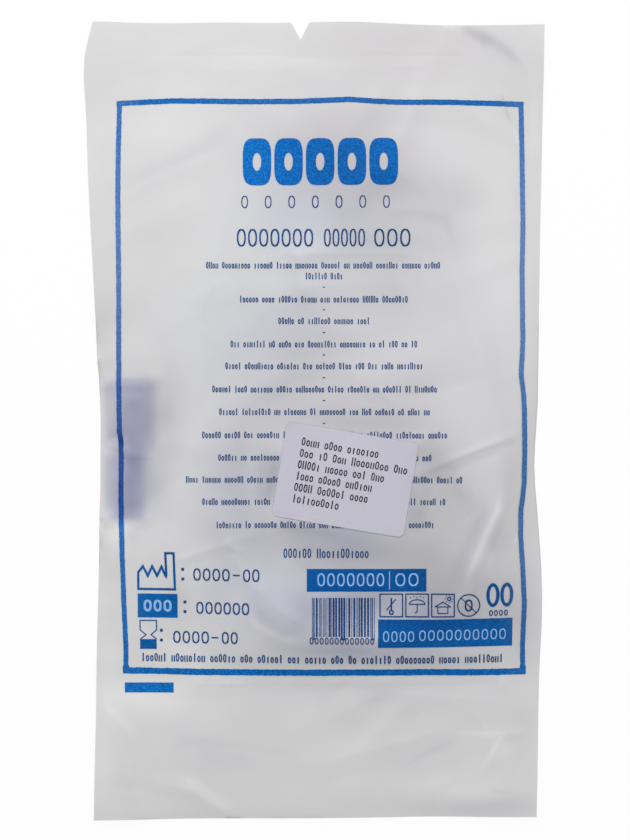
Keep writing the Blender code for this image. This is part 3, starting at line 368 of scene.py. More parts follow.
# Label
LABEL_WIDTH = 0.0495
LABEL_HEIGHT = 0.0355
LABEL_CORNER = 0.0022
LABEL_TURN = -9.5
LABEL_SMOOTH_ANGLE = 40
LABEL_THICK = 0.00014
LABEL_COLUMNS = 44
LABEL_ROWS = 32
LABEL_SMOOTHING = 24
LABEL_LIFT = 0.00018

# Ink over the film, in metres: how high, how thick, and how far round a point it clears the film
INK_LIFT = 0.00009
INK_THICK = 0.00008
PRINT_REACH = 0.00035

# Print, in millimetres on the pack, all of it moved up by one shift
PRINT_SHIFT = 1.5
PRINT_CELL = 0.8
PRINT_SEAM = 0.001
MITRE_LIMIT = 0.35
RAGGED_SEED = 3
FRAME_RAGGED = 0.08
FRAME_LINE_TOP = 1.95
FRAME_LINE_SIDE = 1.85
FRAME_LINE_FOOT = 2.35
FRAME_TOP_ABOVE = 116.5
FRAME_FOOT_BELOW = -92.5
FRAME_POINTS = (
    (-72.4, 118.1), (-60.8, 118.7), (-51.6, 119.1), (-23.8, 118.8), (-5.3, 118.9), (13.3, 119.6),
    (22.5, 118.9), (31.8, 118.5), (50.3, 118.5), (68.9, 118.0), (76.8, 117.7), (77.0, 111.8),
    (77.4, 95.2), (77.7, 73.0), (77.4, 56.3), (77.8, 30.3), (77.5, 23.0), (77.2, 18.6), (77.3, 16.4),
    (77.8, 13.0), (78.2, 9.0), (78.5, 3.0), (78.7, -10.8), (78.5, -23.1), (77.9, -28.5), (77.2, -33.3),
    (77.1, -42.7), (78.0, -55.8), (78.7, -69.0), (78.2, -84.1),
    (78.4, -94.2), (60.3, -94.3), (41.6, -93.9), (13.4, -94.0), (-14.7, -94.3), (-52.2, -94.3),
    (-70.8, -94.1), (-70.8, -84.1), (-71.5, -67.1), (-71.9, -50.2), (-71.6, -33.3), (-71.5, -18.3),
    (-71.5, -9.4), (-71.6, -7.6), (-71.8, -5.4), (-72.2, -3.6), (-72.1, -0.8), (-72.2, 7.0),
    (-72.4, 17.2), (-72.8, 30.0), (-72.9, 39.6), (-73.0, 61.9), (-73.1, 84.1),
    (-72.9, 100.8), (-72.5, 111.8),
)
SMALL_BAR = (-62.1, -100.6, 18.4, 3.8)

# Headline tiles: how many, how far apart, size, hole, roundness and the row's middle
TILE_COUNT = 5
TILE_PITCH = 11.75
TILE_SIZE = (10.6, 17.5)
TILE_HOLE = (3.2, 6.6)
TILE_CORNER = 0.55
TILES_MIDDLE = (2.2, 96.5)

# Rows of plain zeros: middle x, middle y, width, height, how many, width of one, stroke
ZERO_ROWS = (
    (0.4, 81.6, 55.1, 4.6, 7, 2.5, 0.35), (-14.6, 68.3, 28.4, 6.6, 7, 3.35, 0.56),
    (11.2, 68.3, 15.2, 6.6, 5, 2.55, 0.52), (28.9, 68.3, 13.4, 6.6, 3, 3.8, 0.58),
    (-38.3, -57.1, 13.7, 4.7, 4, 2.85, 0.50), (-23.4, -57.1, 6.1, 4.7, 2, 2.7, 0.50),
    (-34.2, -69.9, 19.9, 4.6, 6, 2.75, 0.50),
    (-46.2, -81.2, 13.5, 4.6, 4, 2.8, 0.50), (-31.6, -81.2, 6.0, 4.6, 2, 2.65, 0.50),
    (10.3, -81.7, 24.0, 2.6, 13, 1.4, 0.32), (68.8, -71.5, 7.1, 2.2, 4, 1.4, 0.34),
)
ZERO_LEAST_HOLE = 0.12
ZERO_CORNER = 0.8
DASHES = ((-29.0, -57.1, 2.6, 0.5), (-37.2, -81.2, 2.6, 0.5))

# Rows of mixed marks: middle x, middle y, width; style as height, pitch, stroke
ROWS_SEED = 3
SMALL_ROWS = (
    (3.1, 58.1, 87.1), (3.6, 54.1, 14.1), (3.4, 45.5, 62.7), (3.6, 37.5, 34.1), (3.5, 28.9, 69.5),
    (3.6, 20.8, 73.5), (3.8, 12.2, 83.6), (3.8, 3.8, 78.4), (3.8, -4.8, 91.1), (3.9, -13.2, 79.3),
    (3.6, -21.4, 102.7), (3.5, -29.6, 90.5), (4.0, -38.2, 81.2),
)
SMALL_ROW_STYLE = (2.5, 1.20, 0.34)
ROW_DASH = (0.9, 0.35)
ROW_DASHES = (50.0, 41.6, 33.2, 24.9, 16.5, 8.0, -0.5, -9.0, -17.3, -25.5, -33.9)
WIDE_ROWS = ((4.4, -48.8, 32.0, 3.6, 1.78, 0.42), (2.9, -89.0, 136.0, 3.2, 1.62, 0.44))
COLONS = ((-49.1, -57.1), (-48.4, -69.6), (-57.4, -80.6))
COLON_GAP = 3.7
COLON_DOT = 1.05

# Marks of such a row: how many to a group, shares of each kind, and sizes as shares of the row's
FIRST_GROUP = (3, 8)
NEXT_GROUPS = (2, 9)
TALL_SHARE = 0.30
LOW_MARK = 0.74
ZERO_SHARE = 0.60
BAR_SHARE = 0.86
ZERO_WIDTH = 0.80
BAR_STROKE = 1.15
PAIR_OFFSET = 0.27
PAIR_STROKE = 1.05

# Filled boxes and the line on one of them as middle x, middle y, width, height, and the zeros on them
FILLED_BOXES = ((-58.7, -69.3, 15.0, 9.1), (19.5, -58.9, 44.5, 8.5), (49.0, -78.9, 50.4, 10.7))
BOX_ZEROS = (
    (-58.7, -69.3, 10.6, 4.5, 3, 3.1, 0.85), (13.6, -58.7, 24.9, 4.9, 7, 2.85, 0.50),
    (34.5, -58.7, 8.6, 4.9, 2, 3.7, 0.50), (31.4, -79.9, 11.6, 4.1, 4, 2.3, 0.40),
    (55.4, -79.6, 32.7, 4.1, 10, 2.5, 0.40),
)
BOX_LINE = (28.0, -58.9, 0.35, 6.8)

# Bold signs, as strokes from the lower left corner of each, and twin rings
WORKS_CORNER = (-65.9, -63.0)
WORKS_LINE = 0.85
WORKS_STROKES = (
    (0.0, 6.3), (1.8, 8.7), (3.6, 5.1), (5.3, 8.7), (7.1, 5.1), (8.8, 8.6), (10.6, 4.4), (10.3, 13.8),
    (13.4, 13.8), (13.8, 0.0), (0.0, 0.0),
)
GLASS_CORNER = (-65.4, -85.8)
GLASS_LINE = 0.42
GLASS_STROKES = (
    (0.1, 3.7), (2.2, 5.3), (0.0, 7.2), (0.0, 10.8), (6.2, 10.8), (6.2, 7.2), (4.1, 5.3), (6.2, 3.7),
)
GLASS_FILL = (3.1, 1.8, 6.2, 3.7)
TWIN_RINGS = ((66.6, -64.6), (71.9, -64.6))
TWIN_SIZE = (2.5, 4.55)
TWIN_STROKE = 1.25

# Boxes of the outline signs, and in each, from its middle: a thermometer, an umbrella and a house
SIGN_BOXES = ((28.7, -68.3), (38.3, -68.3), (47.9, -68.3))
SIGN_SIZE = 8.4
SIGN_LINE = 0.44
THIN_LINE = 0.34
STEM = ((0.0, -2.0), (0.0, 2.8))
STEM_LINE = 0.55
STEM_CROSS = ((-1.8, -1.8), (1.7, 2.3))
HANDLE = ((0.0, 0.4), (0.0, -2.4), (-0.8, -2.9))
HOUSE_LINE = 0.36
ROOF = ((-3.0, -0.5), (0.0, 1.3), (2.9, -0.5))
WALLS = ((-1.9, -0.8), (-1.9, -2.9), (1.8, -2.9), (1.8, -0.8))

# Bulb and sun: middle x, middle y, radius, hole; dome: half width, height, foot, steps
BULB = (0.0, -2.6, 0.95, 0.45)
SUN = (2.3, 2.5, 0.85, 0.4)
DOME = (2.9, 1.7, 0.4, 8)

# Drops: how many, first x, pitch, y, rise, size; rays: how many, distance, length, width
DROPS = (5, -2.4, 1.2, 2.9, 0.35, 0.38)
RAYS = (8, 1.4, 0.6, 0.24)

# Crossed ring: middle x, middle y, radius; its zero: foot, width, height, stroke
RING_SIGN = (57.5, -68.3, 4.35)
RING_LINE = 0.42
RING_CROSS = ((-3.0, 3.0), (3.0, -3.0))
RING_ZERO = (-2.3, 3.0, 4.6, 0.55)

# Striped code: its place, its longer stripes, how many stripes and the widths they are drawn from
CODE_LEFT = -0.8
CODE_RIGHT = 22.5
CODE_BOTTOM = -80.0
CODE_HEIGHT = 14.5
CODE_GUARD = 1.3
CODE_STRIPES = 30
CODE_THIN = 0.12
CODE_SEED = 8
CODE_STRIPE_WIDTHS = (1, 1, 2, 3)
CODE_GAP_WIDTHS = (1, 1, 2, 2)

# Label print, in millimetres from the label's middle: x, y, width
LABEL_LINES = (
    (-3.8, 11.4, 29.2), (1.95, 7.1, 40.7), (-2.05, 2.8, 32.7), (-4.0, -1.45, 28.8), (-4.4, -5.7, 28.0),
    (-9.5, -10.0, 17.8),
)
LABEL_ROW_STYLE = (3.1, 1.74, 0.39)
LABEL_SEED = 21
LABEL_INK = ("label_ink", 1.0, 3.0)
LABEL_INK_LIFT = 0.00004

# Camera over the pack, a little towards its top edge
CAMERA_DISTANCE = 1.0
CAMERA_TOWARDS_TOP = 0.0585
CAMERA_LENS = 114.6
CAMERA_CLIP = (0.05, 10.0)
AIM = (0.0003, 0.0017, 0.0)

# Stage, with lamps as place, size, power and colour
FLOOR_SIZE = 3.0
FLOOR_DROP = 0.0004
FLOOR_COLOUR = (0.93, 0.93, 0.93)
FLOOR_ROUGHNESS = 0.9
FLOOR_WHITE = 0.95
WORLD_COLOUR = (0.98, 0.985, 1.0)
WORLD_LIGHT = 0.52
LAMPS = {
    "soft_key": ((-0.12, 0.62, 0.64), 0.4, 4.2, (1.0, 0.995, 0.985)),
    "soft_fill": ((0.6, -0.5, 1.2), 1.0, 2.0, (0.97, 0.98, 1.0)),
}


def colour_setting(name, description, default):
    """A colour for the panel."""
    return FloatVectorProperty(
        name=name, description=description, default=default, subtype="COLOR", size=3, min=0.0, max=1.0,
    )


class PackSizes(bpy.types.PropertyGroup):
    """Sizes that shape the film, the label and the tube."""

    sag: FloatProperty(
        name="Film sag", description="How far the film sinks between what holds it up",
        default=FILM_SAG, min=0.0, max=40.0,
    )
    crease_share: FloatProperty(
        name="Creases", description="Share of the creases' full height", default=1.0, min=0.0, max=3.0,
    )
    label_width: FloatProperty(
        name="Label width", description="Width of the label", default=LABEL_WIDTH, unit="LENGTH",
    )
    label_height: FloatProperty(
        name="Label height", description="Height of the label", default=LABEL_HEIGHT, unit="LENGTH",
    )
    label_corner: FloatProperty(
        name="Label corner", description="Radius of the label's corners", default=LABEL_CORNER,
        unit="LENGTH",
    )
    label_turn: FloatProperty(
        name="Label turn", description="How far askew the label is stuck on",
        default=math.radians(LABEL_TURN), subtype="ANGLE",
    )
    tube_sides: IntProperty(
        name="Tube sides", description="Sides of the inlet tube", default=TUBE_SIDES, min=6, max=64,
    )


class PackColours(bpy.types.PropertyGroup):
    """Colours of the pack and of what it holds."""

    film: colour_setting("Film", "Milky film", (0.765, 0.762, 0.768))
    ink: colour_setting("Ink", "Blue print on the film", (0.004, 0.103, 0.340))
    word_ink: colour_setting("Word ink", "Thin blue print on the film", (0.009, 0.065, 0.205))
    box_sign: colour_setting("Box signs", "Pale signs on the filled boxes", (0.32, 0.53, 0.86))
    label: colour_setting("Label", "Label paper", (0.57, 0.56, 0.64))
    label_ink: colour_setting("Label ink", "Print on the label", (0.012, 0.011, 0.016))
    bag: colour_setting("Bag", "Frosted sheet of the bag", (0.80, 0.79, 0.83))
    tube: colour_setting("Tube", "Clear inlet tube", (0.82, 0.82, 0.86))
    fitting: colour_setting("Fittings", "Ports, connector and tap", (0.36, 0.37, 0.52))
    strap: colour_setting("Straps", "Elastic straps", (0.06, 0.08, 0.30))


# Materials

def feed(tree, socket, value):
    """Link a socket to another one, or give it a value."""
    if isinstance(value, bpy.types.NodeSocket):
        tree.links.new(value, socket)
    else:
        socket.default_value = value


def add_node(tree, kind, *inputs, **settings):
    """A node with its first inputs in order, other sockets by name and the rest as attributes."""
    node = tree.nodes.new(kind)
    for name, value in settings.items():
        label = name.replace("_", " ")
        if label in node.inputs:
            feed(tree, node.inputs[label], value)
        else:
            setattr(node, name, value)
    for place, value in enumerate(inputs):
        feed(tree, node.inputs[place], value)
    return node


def new_material(name, colour, roughness, gloss=PLASTIC_GLOSS, opacity=1.0):
    """A Principled material with its looks set on the shader."""
    material = bpy.data.materials.new(name)
    material.use_nodes = True
    shader = material.node_tree.nodes["Principled BSDF"]
    shader.inputs["Base Color"].default_value = (*colour, 1.0)
    shader.inputs["Roughness"].default_value = roughness
    shader.inputs["Specular IOR Level"].default_value = gloss
    shader.inputs["Alpha"].default_value = opacity
    return material, material.node_tree, shader


def noise_on_object(tree, scale, detail, stretch=(1.0, 1.0, 1.0)):
    """A noise pattern fixed to the piece, stretched along its axes."""
    place = add_node(tree, "ShaderNodeTexCoord").outputs["Object"]
    stretched = add_node(tree, "ShaderNodeMapping", Vector=place, Scale=stretch).outputs["Vector"]
    noise = add_node(tree, "ShaderNodeTexNoise", Vector=stretched, Scale=scale, Detail=detail)
    return noise.outputs["Fac"]


def two_tones(tree, factor, first, second, low=TONE_LOW, high=TONE_HIGH):
    """A colour between two tones, by where a pattern lies between two values."""
    ramp = add_node(tree, "ShaderNodeValToRGB", Fac=factor)
    for stop, place, tone in zip(ramp.color_ramp.elements, (low, high), (first, second)):
        stop.position = place
        stop.color = (*tone, 1.0)
    return ramp.outputs["Color"]


def mix_colours(tree, factor, first, second, blend="MIX"):
    """A mix of two colours."""
    mix = add_node(tree, "ShaderNodeMix", data_type="RGBA", blend_type=blend)
    for place, value in zip(MIX_COLOUR_INPUTS, (factor, first, second)):
        feed(tree, mix.inputs[place], value)
    return mix.outputs[MIX_COLOUR_OUTPUT]


def add_bump(tree, shader, height, strength, distance, under=None):
    """Relief from a pattern, on top of another relief if one is given."""
    bump = add_node(tree, "ShaderNodeBump", Height=height, Strength=strength, Distance=distance)
    if under is not None:
        feed(tree, bump.inputs["Normal"], under)
    feed(tree, shader.inputs["Normal"], bump.outputs["Normal"])
    return bump.outputs["Normal"]


def add_grain(tree, shader, grain, under=None):
    """Relief from noise: its scale, detail, stretch, strength and depth."""
    scale, detail, stretch, strength, distance = grain
    return add_bump(tree, shader, noise_on_object(tree, scale, detail, stretch), strength, distance, under)


def shade(colour, share):
    """A colour made darker or lighter by a share."""
    return tuple(min(1.0, part * share) for part in colour)


def under_painted_shade(tree, tone):
    """A tone dimmed by the piece's painted shade attribute: the painted show-through, shade and light of
    what lies under the film.
    """
    veil = add_node(tree, "ShaderNodeAttribute", attribute_name="veil")
    return mix_colours(tree, 1.0, tone, veil.outputs["Color"], "MULTIPLY")


def mottled(name, colour, finish, grain=None):
    """A plain material with a faint mottle of its colour, and with a grain if one is given."""
    roughness, opacity, scale, detail, dark, light = finish
    material, tree, shader = new_material(name, colour, roughness, opacity=opacity)
    noise = noise_on_object(tree, scale, detail)
    tone = two_tones(tree, noise, shade(colour, dark), shade(colour, light))
    feed(tree, shader.inputs["Base Color"], tone)
    if grain:
        add_grain(tree, shader, grain)
    return material


def film_material(colour):
    """Milky film: clearer where it lies against what is under it, cloudy where it stands off."""
    material, tree, shader = new_material("milky_film", colour, FILM_ROUGHNESS, FILM_GLOSS)
    scale, detail, dark, light = FILM_CLOUD
    cloud = noise_on_object(tree, scale, detail)
    tone = two_tones(tree, cloud, shade(colour, dark), shade(colour, light))
    # The film's tone carries the painted shade and light, and the painted show-through of the contents
    feed(tree, shader.inputs["Base Color"], under_painted_shade(tree, tone))
    add_grain(tree, shader, FILM_CRINKLE, add_grain(tree, shader, FILM_GRAIN))
    contact = add_node(tree, "ShaderNodeAttribute", attribute_name="contact").outputs["Fac"]
    cover = add_node(tree, "ShaderNodeMapRange", contact, To_Min=CLOUDIEST, To_Max=CLEAREST)
    feed(tree, shader.inputs["Alpha"], cover.outputs["Result"])
    return material


def ink_material(name, colours, mix, bare):
    """Ink mottled with fine pale specks, that lets what it is printed on show where it is thin."""
    start, share, pale_share = mix
    colour = shade(getattr(colours, start), share)
    pale = shade(getattr(colours, start), pale_share)
    material, tree, shader = new_material(name, colour, INK_ROUGHNESS, INK_GLOSS)
    tone = two_tones(tree, noise_on_object(tree, *INK_SPECKS), colour, pale, *INK_TONES)
    thin = add_node(tree, "ShaderNodeAttribute", attribute_name="thin").outputs["Fac"]
    worn = mix_colours(tree, thin, tone, (*bare, 1.0))
    # The ink's tone carries the painted shade and light of the film under it
    feed(tree, shader.inputs["Base Color"], under_painted_shade(tree, worn))
    return material


def strap_material(colour):
    """Woven elastic: ribs along the band, finer threads across it."""
    material, tree, shader = new_material("woven_elastic", colour, STRAP_ROUGHNESS)
    shader.inputs["Sheen Weight"].default_value = STRAP_SHEEN
    place = add_node(tree, "ShaderNodeTexCoord").outputs["Object"]
    waves = []
    for way, (scale, distortion, _, _) in (("X", STRAP_THREADS), ("Y", STRAP_RIBS)):
        wave = add_node(tree, "ShaderNodeTexWave", place, Scale=scale, Distortion=distortion)
        wave.bands_direction = way
        waves.append(wave.outputs["Fac"])
    threads, ribs = waves
    dark, light, low, high = STRAP_TONES
    tone = two_tones(tree, ribs, shade(colour, dark), shade(colour, light), low, high)
    feed(tree, shader.inputs["Base Color"], tone)
    under = add_bump(tree, shader, threads, *STRAP_THREADS[2:])
    add_bump(tree, shader, ribs, *STRAP_RIBS[2:], under)
    return material


def dress_node(name, material):
    """Give a CAD node a new finish."""
    piece = NODES[name]
    if not piece.material_slots:
        piece.data.materials.append(material)
    for slot in piece.material_slots:
        slot.material = material


# Shapes

def add_object(name, data):
    """A new object in the scene."""
    made = bpy.data.objects.new(name, data)
    bpy.context.scene.collection.objects.link(made)
    return made


def add_piece(name, shape, material, smooth_angle=None):
    """Turn a bmesh into a piece that rides on the pack."""
    mesh = bpy.data.meshes.new(name)
    shape.to_mesh(mesh)
    shape.free()
    if smooth_angle is not None:
        mesh.shade_smooth()
        mesh.set_sharp_from_angle(angle=math.radians(smooth_angle))
    piece = add_object(name, mesh)
    mesh.materials.append(material)
    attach(piece, "root")
    return piece


def new_grid(shape, columns, rows):
    """A square grid of faces, given back as its vertices, each with its column and its row."""
    grid = []
    for vertex in bmesh.ops.create_grid(shape, x_segments=columns, y_segments=rows, size=1.0)["verts"]:
        column = int(round((vertex.co.x + 1.0) / 2.0 * columns))
        row = int(round((vertex.co.y + 1.0) / 2.0 * rows))
        grid.append((vertex, column, row))
    return grid


def close_seam(shape, grid, distance):
    """Merge the edges of a bent grid that lie on each other."""
    bmesh.ops.remove_doubles(shape, verts=[vertex for vertex, _, _ in grid], dist=distance)


def thicken(shape, thickness):
    """Give a flat shape a body under it."""
    made = bmesh.ops.extrude_face_region(shape, geom=shape.faces[:])
    moved = [item for item in made["geom"] if isinstance(item, bmesh.types.BMVert)]
    bmesh.ops.translate(shape, vec=(0.0, 0.0, -thickness), verts=moved)
    bmesh.ops.recalc_face_normals(shape, faces=shape.faces[:])


def tree_of(names):
    """One search tree over the surfaces of several CAD nodes."""
    points = []
    faces = []
    for name in names:
        mesh = NODES[name].data
        first = len(points)
        points.extend(vertex.co.copy() for vertex in mesh.vertices)
        faces.extend([first + index for index in face.vertices] for face in mesh.polygons)
    return BVHTree.FromPolygons(points, faces)


def tree_of_piece(name):
    """Search tree over a finished piece."""
    return BVHTree.FromObject(bpy.data.objects[name], bpy.context.evaluated_depsgraph_get())


def height_at(tree, x, y, missing=math.nan, way=DOWN):
    """Height at which a ray from above, or else from below, meets a surface."""
    hit = tree.ray_cast(Vector((x, y, -way)), Vector((0.0, 0.0, way)))[0]
    return missing if hit is None else hit.z


def heights_over(tree, x, y, way=DOWN):
    """Heights of a surface over every point of a plan, no number where there is none."""
    heights = [height_at(tree, a, b, way=way) for a, b in zip(x.ravel(), y.ravel())]
    return np.array(heights).reshape(x.shape)


def mean_of_neighbours(grid):
    """Mean of the four neighbours of each inner point of a grid."""
    return (grid[2:, 1:-1] + grid[:-2, 1:-1] + grid[1:-1, 2:] + grid[1:-1, :-2]) / 4


# Film

def side_line(sign):
    """Places along the pack of one side edge, its distance from the middle and its height."""
    found = {}
    for vertex in NODES["film_sleeve"].data.vertices:
        if sign * vertex.co.x > SIDE_SEARCH:
            key = round(vertex.co.y, 4)
            if sign * vertex.co.x > found.get(key, (0.0, 0.0))[0]:
                found[key] = (sign * vertex.co.x, vertex.co.z)
    rows = []
    for y in sorted(found):
        if rows and y - rows[-1][0] < ROW_JOIN:
            rows[-1] = max(rows[-1], (y, *found[y]), key=lambda row: row[1])
        else:
            rows.append((y, *found[y]))
    places, across, heights = np.array(rows).T
    return places, sign * across, heights


def edge_lines(ys):
    """Both side edges of the film across the pack, the left one drawn in by the straps."""
    left_places, left_x, _ = side_line(-1)
    right_places, right_x, _ = side_line(1)
    left = np.interp(ys, left_places, left_x)
    left += STRAP_PULL * np.exp(-((ys - STRAP_PULL_MIDDLE) / STRAP_PULL_REACH) ** 4)
    kept = (right_places < RIGHT_STRAIGHT[0]) | (right_places > RIGHT_STRAIGHT[1])
    return left, np.interp(ys, right_places[kept], right_x[kept])


def film_plan():
    """Plan of the film's grid: where each point lies across and along the pack."""
    ys = np.linspace(FILM_LOW.y, FILM_HIGH.y, FILM_ROWS + 1)
    left, right = edge_lines(ys)
    tip = (NOTCH_X - left[-1]) / (right[-1] - left[-1])
    nearest = BACK_STEP * int(round(tip * FILM_COLUMNS / BACK_STEP))
    shares = np.interp(np.arange(FILM_COLUMNS + 1), [0, nearest, FILM_COLUMNS], [0.0, tip, 1.0])
    x = left[:, None] + (right - left)[:, None] * shares[None, :]
    y = np.repeat(ys[:, None], FILM_COLUMNS + 1, axis=1)
    weld = FILM_HIGH.y - WELD_BELOW_TOP
    above = np.clip((y - weld) / WELD_BELOW_TOP, 0.0, 1.0)
    notch = NOTCH_DEPTH * np.clip(1.0 - np.abs(x - NOTCH_X) / (NOTCH_WIDTH / 2), 0.0, 1.0)
    waves = sum(height * np.sin(x * pace + start) for height, pace, start in TOP_WAVES)
    dip = TOP_DIP * np.exp(-((x - TOP_DIP_MIDDLE) / TOP_DIP_REACH) ** 2)
    y = y + above * (waves - dip - notch)
    low_share = np.clip(0.5 - y / (FILM_HIGH.y - FILM_LOW.y), 0.0, 1.0) ** 4
    y = y + BOTTOM_SLANT * (x / (FILM_HIGH.x - FILM_LOW.x) + 0.5) * low_share
    return x, y


def widen(grid):
    """Each point takes the highest of itself and its neighbours."""
    padded = np.pad(grid, 1, mode="edge")
    rows, columns = grid.shape
    shifted = [padded[j:j + rows, i:i + columns] for j in range(3) for i in range(3)]
    return np.max(shifted, axis=0)


def back_heights(x, y, low):
    """The back layer: the solid's underside, smoothed and kept under the contents."""
    back = np.nan_to_num(heights_over(tree_of(["film_sleeve"]), x, y, UP))
    for column, sign in ((0, -1), (-1, 1)):
        places, _, heights = side_line(sign)
        back[:, column] = np.interp(y[:, 0], places, heights) - RIM / 2
    back[0, :] = back[2, :]
    back[-1, :] = back[-3, :]
    limit = np.where(np.isnan(low), 1.0, low - CLEAR_OF_CONTENTS)
    for _ in range(BACK_SMOOTHING):
        back[1:-1, 1:-1] = np.minimum(mean_of_neighbours(back), limit[1:-1, 1:-1])
        back = np.clip(back, 0.0, None)
    return back


def coarser(support, level):
    """A coarser grid, with the highest of the fine points round each of its own."""
    coarse = support[::level, ::level].copy()
    for j in range(level):
        for i in range(level):
            part = support[j::level, i::level]
            rows, columns = part.shape
            coarse[:rows, :columns] = np.maximum(coarse[:rows, :columns], part)
    return coarse


def settle(support, edge, sag, spacing):
    """Film held at its edge, that lies on its supports and sags between them."""
    height = None
    for level in SETTLE_LEVELS:
        coarse = coarser(support, level)
        rim = edge[::level, ::level]
        if height is None:
            height = coarse.copy()
        else:
            height = np.repeat(np.repeat(height, 2, axis=0), 2, axis=1)
            height = np.maximum(height[:coarse.shape[0], :coarse.shape[1]], coarse)
        height[0, :], height[-1, :] = rim[0, :], rim[-1, :]
        height[:, 0], height[:, -1] = rim[:, 0], rim[:, -1]
        drop = sag * (spacing * level) ** 2 / 4
        for _ in range(SETTLE_ROUNDS):
            height[1:-1, 1:-1] = np.maximum(coarse[1:-1, 1:-1], mean_of_neighbours(height) - drop)
    return height


def ease(front, under):
    """Stiffen the film, so that it bridges small steps and leaves corners in soft bends."""
    for _ in range(EASE_PASSES):
        front = spread(front, EASE_ROUNDS)
        front += spread(widen(widen(np.maximum(under - front, 0.0))), EASE_LIFT_ROUNDS)
    return np.maximum(front, under)


def crease_height(x, y, start, end, half_width, height):
    """One crease over the whole plan: a sharp crest that fades along its ends."""
    a = np.array(start) * MM
    run = np.array(end) * MM - a
    share = ((x - a[0]) * run[0] + (y - a[1]) * run[1]) / run.dot(run)
    held = np.clip(share, 0.0, 1.0)
    distance = np.hypot(x - a[0] - held * run[0], y - a[1] - held * run[1])
    across = np.clip(1.0 - distance / (half_width * MM), 0.0, 1.0)
    fade_start, fade_run, least, most = CREASE_FADE
    along = np.sin(np.pi * np.clip(0.5 * (share * fade_run + fade_start), least, most))
    return height * MM * across ** CREST_SHARPNESS * (3.0 - across) / 2.0 * along


def scattered_creases(x, y, rng, count, lengths, widths, heights):
    """Creases of one kind scattered over the film, mostly along its lines of pull."""
    total = np.zeros_like(x)
    for _ in range(count):
        middle = [rng.uniform(-reach, reach) for reach in SCATTER_REACH]
        angle = rng.gauss(*SCATTER_ANGLE)
        half = rng.uniform(*lengths) / 2
        run = (half * math.cos(angle), half * math.sin(angle))
        start = (middle[0] - run[0], middle[1] - run[1])
        end = (middle[0] + run[0], middle[1] + run[1])
        height = rng.choice((-1, 1)) * rng.uniform(*heights)
        total += crease_height(x, y, start, end, rng.uniform(*widths), height)
    return total


def look_through(x, y):
    """Top and bottom of the contents over the plan, and which piece lies on top."""
    tree = tree_of(CONTENTS)
    owner = [number for number, name in enumerate(CONTENTS) for _ in NODES[name].data.polygons]
    down = [tree.ray_cast(Vector((a, b, 1.0)), Vector((0.0, 0.0, -1.0))) for a, b in zip(x.flat, y.flat)]
    top = np.array([math.nan if hit[0] is None else hit[0].z for hit in down]).reshape(x.shape)
    piece = np.array([-1 if hit[2] is None else owner[hit[2]] for hit in down]).reshape(x.shape)
    return top, heights_over(tree, x, y, UP), piece


def lies_on_top(piece, names):
    """Where one of the named pieces lies on top."""
    return np.isin(piece, [CONTENTS.index(name) for name in names])


def spread(grid, rounds):
    """A grid blurred by a number of rounds of averaging."""
    for _ in range(rounds):
        grid[1:-1, 1:-1] = 0.5 * grid[1:-1, 1:-1] + 0.5 * mean_of_neighbours(grid)
    return grid


def soft_shades(x, y, shades):
    """How much a list of soft spots, such as the painted shade and light, dims the places given."""
    total = 0.0
    for middle_x, middle_y, reach_x, reach_y, depth in shades:
        away = ((x / MM - middle_x) / reach_x) ** 2 + ((y / MM - middle_y) / reach_y) ** 2
        total = total + np.exp(-away)[..., None] * np.array(depth)
    return total


def soft_line(x, y, points, reach):
    """Strength of a soft line along points, all in millimetres, that fades at its ends."""
    lengths = [math.dist(a, b) for a, b in zip(points, points[1:])]
    nearest = np.full(x.shape, np.inf)
    share = np.zeros(x.shape)
    done = 0.0
    for a, b, length in zip(points, points[1:], lengths):
        run = (b[0] - a[0], b[1] - a[1])
        along = np.clip(((x - a[0]) * run[0] + (y - a[1]) * run[1]) / length ** 2, 0.0, 1.0)
        away = np.hypot(x - a[0] - along * run[0], y - a[1] - along * run[1])
        share = np.where(away < nearest, (done + along * length) / sum(lengths), share)
        nearest = np.minimum(away, nearest)
        done += length
    fade = np.clip(np.minimum(share, 1.0 - share) / LINE_FADE, LINE_END, 1.0)
    return fade * np.exp(-(nearest / reach) ** 2)


def paint_film_shade(x, y, top, low, piece):
    """Shade and light painted into the milky film: the contents' dim show-through and shade, softer the
    deeper they lie, and the listed spots and lines.
    """
    clear = lies_on_top(piece, CLEAR_PIECES)
    depth = spread(np.where(clear, 0.0, np.nan_to_num(top - low)), DEPTH_SPREAD)
    dim = depth[..., None] * np.array(DEPTH_SHADE)
    for name in CONTENTS:
        if name in PIECE_SHOW_THROUGH:
            tint, rounds = PIECE_SHOW_THROUGH[name]
            dim += spread(lies_on_top(piece, [name]).astype(float), rounds)[..., None] * np.array(tint)
    # Painted shade and light from the listed spots and lines
    dim += soft_shades(x, y, PAINTED_SHADE_AND_LIGHT)
    for points, reach, depth in PAINTED_SHADE_AND_LIGHT_LINES:
        dim += soft_line(x / MM, y / MM, points, reach)[..., None] * np.array(depth)
    return np.exp(-dim)


def film_relief(x, y):
    """Crinkles, folds, creases and the weld line of the front layer, which fade to the side edges."""
    rng = random.Random(CRINKLE_SEED)
    relief = scattered_creases(x, y, rng, CRINKLES, CRINKLE_LENGTH, CRINKLE_WIDTH, CRINKLE_HEIGHT)
    relief += scattered_creases(x, y, rng, FOLDS, FOLD_LENGTH, FOLD_WIDTH, FOLD_HEIGHT)
    for crease in CREASES:
        relief += crease_height(x, y, *crease)
    weld = FILM_HIGH.y - WELD_BELOW_TOP
    relief -= WELD_DEPTH * np.clip(1.0 - np.abs(y - weld) / WELD_HALF, 0.0, 1.0)
    return relief * np.minimum(1.0, np.minimum(x - x[:, :1], x[:, -1:] - x) / EDGE_CALM)


